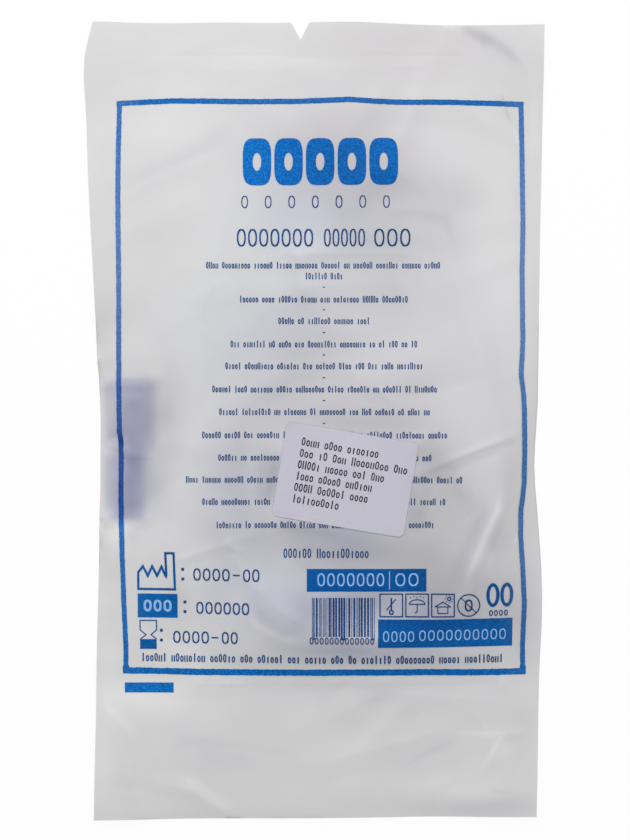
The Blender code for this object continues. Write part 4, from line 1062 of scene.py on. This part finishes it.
def film_heights(x, y, sizes):
    """Back layer, front layer, its contact with what is under it, and the shade and light painted over it.
    """
    top, low, piece = look_through(x, y)
    back = back_heights(x, y, low)
    rest = back + LAYER_GAP
    under = np.where(np.isnan(top), rest, np.maximum(rest, top + CLEAR_OF_CONTENTS))
    support = widen(under)
    shell = heights_over(tree_of(["film_sleeve"]), x, y)
    form = spread(np.where(np.isnan(shell), back, shell), FORM_SMOOTHING) - FORM_SLACK
    spacing = (FILM_HIGH.y - FILM_LOW.y) / FILM_ROWS
    front = ease(settle(np.maximum(support, form), back + RIM, sizes.sag, spacing), support)
    front[1:-1, 1:-1] += (sizes.crease_share * film_relief(x, y))[1:-1, 1:-1]
    front[1:-1, 1:-1] = np.maximum(front, support)[1:-1, 1:-1]
    covered = lies_on_top(piece, COVERED_PIECES)
    contact = np.exp(-(front - np.where(covered, rest, under)) / CONTACT_FADE)
    return back, front, contact, paint_film_shade(x, y, top, low, piece)


def lay_sheet(shape, x, y, z):
    """A grid of faces with its points put on the plan, given back with their columns and rows."""
    rows, columns = x.shape
    grid = new_grid(shape, columns - 1, rows - 1)
    for vertex, i, j in grid:
        vertex.co = (x[j, i], y[j, i], z[j, i])
    return grid


def make_film(sizes, colours):
    """The film pack as one closed skin: fine on the front, coarser at the back."""
    x, y = film_plan()
    back, front, contact, veil = film_heights(x, y, sizes)
    shape = bmesh.new()
    touch = shape.verts.layers.float.new("contact")
    # This colour layer carries the shade and light painted on the film
    dim = shape.verts.layers.float_color.new("veil")
    for vertex, i, j in lay_sheet(shape, x, y, front):
        vertex[touch] = contact[j, i]
        vertex[dim] = (*veil[j, i], 1.0)
    step = (slice(None, None, BACK_STEP), slice(None, None, BACK_STEP))
    for vertex, _, _ in lay_sheet(shape, x[step], y[step], back[step]):
        vertex[touch] = BACK_CONTACT
        vertex[dim] = UNDIMMED
    rims = [edge for edge in shape.edges if edge.is_boundary]
    bmesh.ops.bridge_loops(shape, edges=rims)
    bmesh.ops.recalc_face_normals(shape, faces=shape.faces[:])
    film = add_piece("film_wrap", shape, film_material(colours.film), FILM_SMOOTH_ANGLE)
    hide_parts("film_sleeve")


# Print on the film and on the label

def lay_bar(shape, x, y, width, height, turn=0.0, about=(0.0, 0.0)):
    """A flat bar in millimetres, cut fine enough to follow the film."""
    columns = max(1, math.ceil(width / PRINT_CELL))
    rows = max(1, math.ceil(height / PRINT_CELL))
    size = Matrix.Diagonal((width / 2, height / 2, 1.0, 1.0))
    place = Matrix.Translation((about[0] + x, about[1] + y, 0.0)) @ Matrix.Rotation(turn, 4, "Z")
    bmesh.ops.create_grid(shape, x_segments=columns, y_segments=rows, size=1.0, matrix=place @ size)


def lay_path(shape, points, width, about=(0.0, 0.0), closed=False, ragged=0.0):
    """One flat ribbon along points, mitred at its corners, with edges as ragged as asked for."""
    rng = random.Random(RAGGED_SEED)
    route = list(points) + ([points[0]] if closed else [])
    dense = []
    for (x0, y0), (x1, y1) in zip(route, route[1:]):
        steps = max(1, math.ceil(math.hypot(x1 - x0, y1 - y0) / PRINT_CELL))
        dense += [(x0 + (x1 - x0) * k / steps, y0 + (y1 - y0) * k / steps) for k in range(steps)]
    dense.append(route[-1])
    last = len(dense) - 1
    grid = new_grid(shape, last, 1)
    for vertex, k, _ in grid:
        here = Vector(dense[k])
        if closed and k in (0, last):
            before, after = Vector(dense[last - 1]), Vector(dense[1])
        else:
            before, after = Vector(dense[max(k - 1, 0)]), Vector(dense[min(k + 1, last)])
        first = (here - before).normalized() if k > 0 or closed else (after - here).normalized()
        second = (after - here).normalized() if k < last or closed else first
        both = first + second
        normal = Vector((-both.y, both.x)) / max(both.length_squared / 2, MITRE_LIMIT)
        wide = width(*here) if callable(width) else width
        wide *= 1.0 + rng.uniform(-ragged, ragged)
        place = here + normal * (wide / 2) * vertex.co.y
        vertex.co = (about[0] + place.x, about[1] + place.y, 0.0)
    if closed:
        close_seam(shape, grid, PRINT_SEAM)


def lay_ring(shape, x, y, outer, inner, corner=1.0, sides=40, layers=1):
    """A flat ring between two rounded outlines, each with its half width and half height."""
    grid = new_grid(shape, sides, layers)
    for vertex, _, _ in grid:
        angle = math.pi * (vertex.co.x + 1.0)
        share = (vertex.co.y + 1.0) / 2
        cos, sin = math.cos(angle), math.sin(angle)
        bent_x = math.copysign(abs(cos) ** corner, cos)
        bent_y = math.copysign(abs(sin) ** corner, sin)
        across = inner[0] * cos * (1 - share) + outer[0] * bent_x * share
        along = inner[1] * sin * (1 - share) + outer[1] * bent_y * share
        vertex.co = (x + across, y + along, 0.0)
    close_seam(shape, grid, PRINT_SEAM)


def lay_round_ring(shape, x, y, radius, hole, sides):
    """A flat ring with a round outline and a round hole."""
    lay_ring(shape, x, y, (radius, radius), (hole, hole), sides=sides)


def lay_zero(shape, x, low, width, height, stroke, sides=20):
    """One plain zero that stands on a line."""
    outer = (width / 2, height / 2)
    inner = (max(width / 2 - stroke, ZERO_LEAST_HOLE), height / 2 - stroke)
    lay_ring(shape, x, low + height / 2, outer, inner, ZERO_CORNER, sides)


def lay_zero_row(shape, row):
    """An even row of plain zeros."""
    middle, y, width, height, count, each, stroke = row
    step = (width - each) / (count - 1)
    for k in range(count):
        x = middle - width / 2 + each / 2 + k * step
        lay_zero(shape, x, y - height / 2, each, height, stroke)


def lay_row(shape, middle, y, width, style, rng):
    """A row of small marks, zeros and bars of two heights, in groups of mixed lengths."""
    height, pitch, stroke = style
    count = max(1, int(round(width / pitch)))
    pitch = width / count
    low = y - height / 2
    until_gap = rng.randint(*FIRST_GROUP)
    for k in range(count):
        if until_gap == 0 and k < count - 2:
            until_gap = rng.randint(*NEXT_GROUPS)
            continue
        until_gap -= 1
        x = middle - width / 2 + (k + 0.5) * pitch
        tall = k == 0 or rng.random() < TALL_SHARE
        draw = rng.random()
        full = height if tall else height * LOW_MARK
        if draw < ZERO_SHARE:
            lay_zero(shape, x, low, pitch * ZERO_WIDTH, full, stroke, sides=10)
        elif draw < BAR_SHARE:
            lay_bar(shape, x, low + full / 2, stroke * BAR_STROKE, full)
        else:
            for side in (-PAIR_OFFSET, PAIR_OFFSET):
                lay_bar(shape, x + side * pitch, low + full / 2, stroke * PAIR_STROKE, full)


def height_over(tree, x, y):
    """Greatest height of a surface at a point and close round it."""
    reach = PRINT_REACH
    places = ((0, 0), (reach, 0), (-reach, 0), (0, reach), (0, -reach))
    return max(height_at(tree, x + a, y + b, 0.0) for a, b in places)


def painted_shade_places():
    """Search tree over the film's points, with the painted shade at each."""
    mesh = bpy.data.objects["film_wrap"].data
    places = KDTree(len(mesh.vertices))
    for vertex in mesh.vertices:
        places.insert(vertex.co, vertex.index)
    places.balance()
    return places, mesh.attributes["veil"].data


def drape_print(name, shape, carrier, material, lift=INK_LIFT, shift=PRINT_SHIFT, veil=None):
    """Scale flat print to metres, lay it on what carries it and give it a thin body."""
    layer = shape.verts.layers.float_color.new("veil")
    thin = shape.verts.layers.float.new("thin")
    for vertex in shape.verts:
        x = vertex.co.x * MM
        y = (vertex.co.y + shift) * MM
        vertex.co = (x, y, height_over(carrier, x, y) + lift)
        vertex[layer] = UNDIMMED
        # Print on the film takes the film's painted shade and light, and the shade painted on the ink
        if veil:
            places, values = veil
            dim = np.array(values[places.find(vertex.co)[1]].color[:3])
            dim = dim * np.exp(-soft_shades(np.array(x), np.array(y), INK_PAINTED_SHADE))
            vertex[layer] = (*dim, 1.0)
            vertex[thin] = float(soft_shades(np.array(x), np.array(y), INK_THIN)[0])
    thicken(shape, INK_THICK)
    return add_piece(name, shape, material)


def frame_line_width(x, y):
    """Width of the frame line at a place on it: widest at the foot, narrow at the sides."""
    if y < FRAME_FOOT_BELOW:
        return FRAME_LINE_FOOT
    return FRAME_LINE_TOP if y > FRAME_TOP_ABOVE else FRAME_LINE_SIDE


def print_frame_line():
    """The blue line round the print, and the small bar under it."""
    shape = bmesh.new()
    lay_path(shape, FRAME_POINTS, frame_line_width, closed=True, ragged=FRAME_RAGGED)
    lay_bar(shape, *SMALL_BAR)
    return shape


def print_headline():
    """Row of plain tiles in the place of the headline."""
    shape = bmesh.new()
    outer = (TILE_SIZE[0] / 2, TILE_SIZE[1] / 2)
    hole = (TILE_HOLE[0] / 2, TILE_HOLE[1] / 2)
    for k in range(TILE_COUNT):
        x = TILES_MIDDLE[0] + (k - (TILE_COUNT - 1) / 2) * TILE_PITCH
        lay_ring(shape, x, TILES_MIDDLE[1], outer, hole, TILE_CORNER, sides=56, layers=5)
    return shape


def print_rows():
    """All rows of plain marks on the film."""
    rng = random.Random(ROWS_SEED)
    shape = bmesh.new()
    for row in ZERO_ROWS:
        lay_zero_row(shape, row)
    for middle, y, width in SMALL_ROWS:
        lay_row(shape, middle, y, width, SMALL_ROW_STYLE, rng)
    for middle, y, width, *style in WIDE_ROWS:
        lay_row(shape, middle, y, width, style, rng)
    for y in ROW_DASHES:
        lay_bar(shape, SMALL_ROWS[1][0], y, *ROW_DASH)
    for dash in DASHES:
        lay_bar(shape, *dash)
    for x, y in COLONS:
        for side in (-0.5, 0.5):
            lay_bar(shape, x, y + side * COLON_GAP, COLON_DOT, COLON_DOT)
    return shape


def print_boxes():
    """The filled boxes."""
    shape = bmesh.new()
    for box in FILLED_BOXES:
        lay_bar(shape, *box)
    return shape


def print_code():
    """The striped code, with longer stripes at its ends and in its middle."""
    shape = bmesh.new()
    rng = random.Random(CODE_SEED)
    stripes = [rng.choice(CODE_STRIPE_WIDTHS) for _ in range(CODE_STRIPES)]
    gaps = [rng.choice(CODE_GAP_WIDTHS) for _ in range(CODE_STRIPES - 1)] + [0]
    unit = (CODE_RIGHT - CODE_LEFT) / (sum(stripes) + sum(gaps))
    x = CODE_LEFT
    guards = [start + k for start in (0, CODE_STRIPES // 2, CODE_STRIPES - 2) for k in (0, 1)]
    for k, (stripe, gap) in enumerate(zip(stripes, gaps)):
        height = CODE_HEIGHT + (CODE_GUARD if k in guards else 0.0)
        y = CODE_BOTTOM + CODE_HEIGHT - height / 2
        lay_bar(shape, x + stripe * unit / 2, y, (stripe - CODE_THIN) * unit, height)
        x += (stripe + gap) * unit
    return shape


def print_box_signs():
    """Pale zeros on the filled boxes."""
    shape = bmesh.new()
    for row in BOX_ZEROS:
        lay_zero_row(shape, row)
    lay_bar(shape, *BOX_LINE)
    return shape


def print_bold_signs():
    """Bold signs: works, hourglass and twin rings."""
    shape = bmesh.new()
    lay_path(shape, WORKS_STROKES, WORKS_LINE, about=WORKS_CORNER, closed=True)
    lay_path(shape, GLASS_STROKES, GLASS_LINE, about=GLASS_CORNER)
    lay_bar(shape, *GLASS_FILL, about=GLASS_CORNER)
    inner = (TWIN_SIZE[0] - TWIN_STROKE, TWIN_SIZE[1] - TWIN_STROKE)
    for x, y in TWIN_RINGS:
        lay_ring(shape, x, y, TWIN_SIZE, inner)
    return shape


def draw_thermometer(shape, about):
    """A stem on a bulb, with a stroke across it."""
    x, y, radius, hole = BULB
    lay_path(shape, STEM, STEM_LINE, about)
    lay_round_ring(shape, about[0] + x, about[1] + y, radius, hole, sides=20)
    lay_path(shape, STEM_CROSS, THIN_LINE, about)


def draw_umbrella(shape, about):
    """A dome on a hooked handle, with a row of drops over it."""
    width, height, low, steps = DOME
    angles = [math.pi * k / steps for k in range(steps + 1)]
    dome = [(width * math.cos(angle), low + height * math.sin(angle)) for angle in angles]
    lay_path(shape, dome, THIN_LINE, about, closed=True)
    lay_path(shape, HANDLE, THIN_LINE, about)
    count, x, pitch, y, rise, size = DROPS
    for k in range(count):
        lay_bar(shape, x + pitch * k, y + rise * (k % 2), size, size, about=about)


def draw_house(shape, about):
    """A roof on walls, with a sun and its rays over it."""
    lay_path(shape, ROOF, HOUSE_LINE, about, closed=True)
    lay_path(shape, WALLS, HOUSE_LINE, about)
    x, y, radius, hole = SUN
    lay_round_ring(shape, about[0] + x, about[1] + y, radius, hole, sides=16)
    count, away, length, width = RAYS
    for k in range(count):
        turn = math.tau * k / count
        lay_bar(shape, x + away * math.cos(turn), y + away * math.sin(turn), length, width, turn, about)


def print_outline_signs():
    """Outline signs: three boxed signs and a crossed ring with a zero in it."""
    shape = bmesh.new()
    half = SIGN_SIZE / 2
    corners = ((-half, -half), (half, -half), (half, half), (-half, half))
    for about in SIGN_BOXES:
        lay_path(shape, corners, SIGN_LINE, about, closed=True)
    for about, draw in zip(SIGN_BOXES, (draw_thermometer, draw_umbrella, draw_house)):
        draw(shape, about)
    x, y, radius = RING_SIGN
    lay_round_ring(shape, x, y, radius, radius - RING_LINE, sides=48)
    lay_path(shape, RING_CROSS, THIN_LINE, about=(x, y))
    low, *zero = RING_ZERO
    lay_zero(shape, x, y + low, *zero)
    return shape


# Pieces of the print, each with its ink
PRINTS = {
    "frame_line": (print_frame_line, "blue_ink"),
    "headline_tiles": (print_headline, "tile_ink"),
    "mark_rows": (print_rows, "thin_blue_ink"),
    "filled_boxes": (print_boxes, "box_ink"),
    "striped_code": (print_code, "code_ink"),
    "bold_signs": (print_bold_signs, "sign_ink"),
    "outline_signs": (print_outline_signs, "thin_blue_ink"),
}


def make_print(colours):
    """All print on the film, with the pale signs laid over the filled boxes."""
    film = tree_of_piece("film_wrap")
    veil = painted_shade_places()
    inks = {name: ink_material(name, colours, mix, colours.film) for name, mix in FILM_INKS.items()}
    for name, (draw, ink) in PRINTS.items():
        drape_print(name, draw(), film, inks[ink], veil=veil)
    pale = inks["pale_sign_tone"]
    drape_print("box_signs", print_box_signs(), film, pale, lift=2 * INK_LIFT)


# Label

def label_middle():
    """Middle of the label on the pack."""
    return (LABEL_LOW + LABEL_HIGH) / 2


def rounded_place(u, v, sizes):
    """A point of the label in its own plane, with the corners rounded."""
    x = u * sizes.label_width / 2
    y = v * sizes.label_height / 2
    over_x = abs(x) - (sizes.label_width / 2 - sizes.label_corner)
    over_y = abs(y) - (sizes.label_height / 2 - sizes.label_corner)
    if over_x > 0 and over_y > 0:
        scale = max(over_x, over_y) / math.hypot(over_x, over_y)
        x = math.copysign(sizes.label_width / 2 - sizes.label_corner + over_x * scale, x)
        y = math.copysign(sizes.label_height / 2 - sizes.label_corner + over_y * scale, y)
    return x, y


def make_label(sizes, colours):
    """Label paper that bridges the film's small hollows."""
    carrier = tree_of_piece("film_wrap")
    turn = Matrix.Rotation(sizes.label_turn, 2)
    shape = bmesh.new()
    grid = new_grid(shape, LABEL_COLUMNS, LABEL_ROWS)
    film = np.zeros((LABEL_ROWS + 1, LABEL_COLUMNS + 1))
    for vertex, i, j in grid:
        flat = rounded_place(2 * i / LABEL_COLUMNS - 1, 2 * j / LABEL_ROWS - 1, sizes)
        place = turn @ Vector(flat) + label_middle().xy
        film[j, i] = height_at(carrier, place.x, place.y, 0.0)
        vertex.co = (*place, 0.0)
    height = film.copy()
    for _ in range(LABEL_SMOOTHING):
        height[1:-1, 1:-1] = np.maximum(film[1:-1, 1:-1], mean_of_neighbours(height))
    for vertex, i, j in grid:
        vertex.co.z = height[j, i] + LABEL_LIFT + LABEL_THICK
    thicken(shape, LABEL_THICK)
    paper = mottled("label_paper_finish", colours.label, PAPER_FINISH, PAPER_GRAIN)
    label = add_piece("label_paper", shape, paper, LABEL_SMOOTH_ANGLE)
    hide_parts("label")


def print_label(sizes, colours):
    """Rows of plain dark marks on the label."""
    rng = random.Random(LABEL_SEED)
    shape = bmesh.new()
    for x, y, width in LABEL_LINES:
        lay_row(shape, x, y, width, LABEL_ROW_STYLE, rng)
    middle = label_middle() / MM
    place = Matrix.Translation((middle.x, middle.y, 0.0)) @ Matrix.Rotation(sizes.label_turn, 4, "Z")
    bmesh.ops.transform(shape, matrix=place, verts=shape.verts[:])
    ink = ink_material("label_print_ink", colours, LABEL_INK, colours.label)
    paper = tree_of_piece("label_paper")
    drape_print("label_print", shape, paper, ink, lift=LABEL_INK_LIFT, shift=0.0)


# Tube

def tube_centres():
    """Places of the route over the bag, at the height at which the solid tube lies."""
    tree = tree_of(["inlet_tube"])
    middle = (BAG_LOW.x + BAG_HIGH.x) / 2
    centres = []
    for across, along in TUBE_ROUTE:
        x = middle + across
        y = BAG_HIGH.y + along
        centres.append(Vector((x, y, height_at(tree, x, y, -1.0) - TUBE_RADIUS)))
    known = [point.z for point in centres if point.z > 0]
    for k, point in enumerate(centres):
        if point.z < 0:
            point.z = known[0] if k < len(centres) / 2 else known[-1]
    return centres


def smooth_route(points, steps):
    """Evenly spaced points on a smooth curve through the route's points."""
    fine = []
    padded = [2 * points[0] - points[1]] + points + [2 * points[-1] - points[-2]]
    for a, b, c, d in zip(padded, padded[1:], padded[2:], padded[3:]):
        for t in (k / CURVE_STEPS for k in range(CURVE_STEPS)):
            pull = -a + 3 * b - 3 * c + d
            fine.append(b + 0.5 * t * (c - a + t * (2 * a - 5 * b + 4 * c - d + t * pull)))
    fine.append(points[-1])
    walked = np.cumsum([0.0] + [(q - p).length for p, q in zip(fine, fine[1:])])
    wanted = np.linspace(0.0, walked[-1], steps)
    columns = [np.interp(wanted, walked, [point[axis] for point in fine]) for axis in range(3)]
    return [Vector(point) for point in zip(*columns)]


def sweep_wall(shape, points, radius, sides):
    """A round wall swept along points, from a grid whose long edges are merged."""
    steps = len(points) - 1
    grid = new_grid(shape, sides, steps)
    for vertex, _, k in grid:
        angle = math.pi * (vertex.co.x + 1.0)
        along = (points[min(k + 1, steps)] - points[max(k - 1, 0)]).normalized()
        side = along.cross(Vector((0, 0, 1))).normalized()
        lift = side.cross(along)
        vertex.co = points[k] + radius * (math.cos(angle) * side + math.sin(angle) * lift)
    close_seam(shape, grid, TUBE_SEAM)


def make_tube(sizes, colours):
    """Smooth hollow tube in the place of the solid one."""
    points = smooth_route(tube_centres(), TUBE_STEPS)
    shape = bmesh.new()
    for radius in (TUBE_RADIUS, TUBE_BORE):
        sweep_wall(shape, points, radius, sizes.tube_sides)
    ends = [edge for edge in shape.edges if edge.is_boundary]
    near = [edge for edge in ends if (edge.verts[0].co - points[0]).length < 2 * TUBE_RADIUS]
    far = [edge for edge in ends if edge not in near]
    for rim in (near, far):
        bmesh.ops.bridge_loops(shape, edges=rim)
    bmesh.ops.recalc_face_normals(shape, faces=shape.faces[:])
    clear = mottled("clear_soft_tube", colours.tube, TUBE_FINISH)
    tube = add_piece("soft_tube", shape, clear, TUBE_SMOOTH_ANGLE)
    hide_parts("inlet_tube")


# Stage

def seen_bare(tree):
    """Light path node, and its share of rays that see the background: camera, gloss and glass."""
    path = add_node(tree, "ShaderNodeLightPath")
    seen = path.outputs["Is Camera Ray"]
    for name in ("Is Glossy Ray", "Is Transmission Ray"):
        both = add_node(tree, "ShaderNodeMath", seen, path.outputs[name], operation="MAXIMUM")
        seen = both.outputs[0]
    return path, seen


def times(tree, first, second):
    """Product of two values."""
    return add_node(tree, "ShaderNodeMath", first, second, operation="MULTIPLY").outputs[0]


def floor_material():
    """Pale floor that the camera sees as white, and that still takes the pack's shadow."""
    material, tree, shader = new_material("floor_finish", FLOOR_COLOUR, FLOOR_ROUGHNESS, gloss=0.0)
    path, seen = seen_bare(tree)
    depth = path.outputs["Transparent Depth"]
    first = add_node(tree, "ShaderNodeMath", depth, 0.5, operation="LESS_THAN").outputs[0]
    part = times(tree, times(tree, seen, first), FLOOR_WHITE)
    white = add_node(tree, "ShaderNodeEmission")
    mix = add_node(tree, "ShaderNodeMixShader", part, shader.outputs[0], white.outputs[0])
    feed(tree, tree.nodes["Material Output"].inputs["Surface"], mix.outputs[0])
    return material


def make_floor():
    """Plain floor under the pack."""
    shape = bmesh.new()
    bmesh.ops.create_grid(shape, x_segments=1, y_segments=1, size=FLOOR_SIZE / 2)
    bmesh.ops.translate(shape, vec=(0.0, 0.0, -FLOOR_DROP), verts=shape.verts[:])
    mesh = bpy.data.meshes.new("floor")
    shape.to_mesh(mesh)
    shape.free()
    mesh.materials.append(floor_material())
    floor = add_object("floor", mesh)


def make_world():
    """Even pale surroundings, white where the camera sees them bare."""
    world = bpy.data.worlds.new("surroundings")
    bpy.context.scene.world = world
    world.use_nodes = True
    tree = world.node_tree
    tree.nodes.clear()
    seen = seen_bare(tree)[1]
    soft = add_node(tree, "ShaderNodeBackground", (*WORLD_COLOUR, 1.0), WORLD_LIGHT)
    white = add_node(tree, "ShaderNodeBackground", (1.0, 1.0, 1.0, 1.0), 1.0)
    mix = add_node(tree, "ShaderNodeMixShader", seen, soft.outputs[0], white.outputs[0])
    add_node(tree, "ShaderNodeOutputWorld", mix.outputs[0])


def add_lamp(name, place, size, power, colour):
    """A square soft lamp turned towards the middle of the pack."""
    data = bpy.data.lights.new(name, "AREA")
    data.shape = "SQUARE"
    data.size = size
    data.energy = power
    data.color = colour
    lamp = add_object(name, data)
    lamp.location = place
    lamp.rotation_euler = (-Vector(place)).to_track_quat("-Z", "Y").to_euler()


def make_camera():
    """Camera that looks down on the pack, with the tear notch at the top of the picture."""
    data = bpy.data.cameras.new("camera")
    data.lens = CAMERA_LENS
    data.clip_start, data.clip_end = CAMERA_CLIP
    camera = add_object("camera", data)
    place = Vector((AIM[0], AIM[1] + CAMERA_TOWARDS_TOP, CAMERA_DISTANCE))
    camera.location = place
    forward = (Vector(AIM) - place).normalized()
    side = forward.cross(Vector((0, 1, 0))).normalized()
    up = side.cross(forward)
    camera.rotation_euler = Matrix((side, up, -forward)).transposed().to_euler()
    bpy.context.scene.camera = camera


# Operators

class LEGPACK_OT_film(bpy.types.Operator):
    """Lay the milky film over the contents"""

    bl_idname = "legpack.film"
    bl_label = "Film"

    def execute(self, context):
        make_film(context.scene.pack_sizes, context.scene.pack_colours)
        return {"FINISHED"}


class LEGPACK_OT_print(bpy.types.Operator):
    """Print the film with its frame line, rows, boxes and signs"""

    bl_idname = "legpack.print"
    bl_label = "Print"

    def execute(self, context):
        make_print(context.scene.pack_colours)
        return {"FINISHED"}


class LEGPACK_OT_label(bpy.types.Operator):
    """Stick the label on and print it"""

    bl_idname = "legpack.label"
    bl_label = "Label"

    def execute(self, context):
        sizes = context.scene.pack_sizes
        colours = context.scene.pack_colours
        make_label(sizes, colours)
        print_label(sizes, colours)
        return {"FINISHED"}


class LEGPACK_OT_tube(bpy.types.Operator):
    """Put a smooth clear tube in the place of the plain one"""

    bl_idname = "legpack.tube"
    bl_label = "Tube"

    def execute(self, context):
        make_tube(context.scene.pack_sizes, context.scene.pack_colours)
        return {"FINISHED"}


class LEGPACK_OT_contents(bpy.types.Operator):
    """Give the bag, its fittings and its straps their finishes"""

    bl_idname = "legpack.contents"
    bl_label = "Contents"

    def execute(self, context):
        colours = context.scene.pack_colours
        dark = shade(colours.strap, BUTTON_SHADE)
        finishes = (
            (SHEET_NODES, mottled("frosted_sheet", colours.bag, SHEET_FINISH, SHEET_GRAIN)),
            (FITTING_NODES, mottled("moulded_plastic", colours.fitting, FITTING_FINISH)),
            (BUTTON_NODES, mottled("dark_button_plastic", dark, FITTING_FINISH)),
            (STRAP_NODES, strap_material(colours.strap)),
        )
        for names, material in finishes:
            for name in names:
                dress_node(name, material)
        return {"FINISHED"}


class LEGPACK_OT_stage(bpy.types.Operator):
    """Set up the pale floor, the soft light and the camera"""

    bl_idname = "legpack.stage"
    bl_label = "Stage"

    def execute(self, context):
        make_floor()
        make_world()
        for name, lamp in LAMPS.items():
            add_lamp(name, *lamp)
        make_camera()
        context.scene.view_settings.view_transform = "Standard"
        return {"FINISHED"}


class LEGPACK_PT_panel(bpy.types.Panel):
    """Sidebar panel with the sizes, the colours and the steps"""

    bl_label = "Leg bag pack"
    bl_idname = "LEGPACK_PT_panel"
    bl_space_type = "VIEW_3D"
    bl_region_type = "UI"
    bl_category = "Leg bag pack"

    def draw(self, context):
        layout = self.layout
        for group in (context.scene.pack_sizes, context.scene.pack_colours):
            for name in group.bl_rna.properties.keys():
                if name not in ("rna_type", "name"):
                    layout.prop(group, name)
        for operator in OPERATORS:
            layout.operator(operator.bl_idname)


GROUPS = (PackSizes, PackColours)
OPERATORS = (
    LEGPACK_OT_contents, LEGPACK_OT_tube, LEGPACK_OT_film, LEGPACK_OT_print, LEGPACK_OT_label,
    LEGPACK_OT_stage,
)


def register():
    """Register the groups, the operators and the panel."""
    for group in (*GROUPS, *OPERATORS, LEGPACK_PT_panel):
        bpy.utils.register_class(group)
    bpy.types.Scene.pack_sizes = PointerProperty(type=PackSizes)
    bpy.types.Scene.pack_colours = PointerProperty(type=PackColours)


def unregister():
    """Take them all back."""
    del bpy.types.Scene.pack_colours
    del bpy.types.Scene.pack_sizes
    for group in reversed((*GROUPS, *OPERATORS, LEGPACK_PT_panel)):
        bpy.utils.unregister_class(group)


def main():
    """Dress the pack step by step."""
    register()
    bpy.ops.legpack.contents()
    bpy.ops.legpack.tube()
    bpy.ops.legpack.film()
    bpy.ops.legpack.print()
    bpy.ops.legpack.label()
    bpy.ops.legpack.stage()


if __name__ == "__main__":
    main()
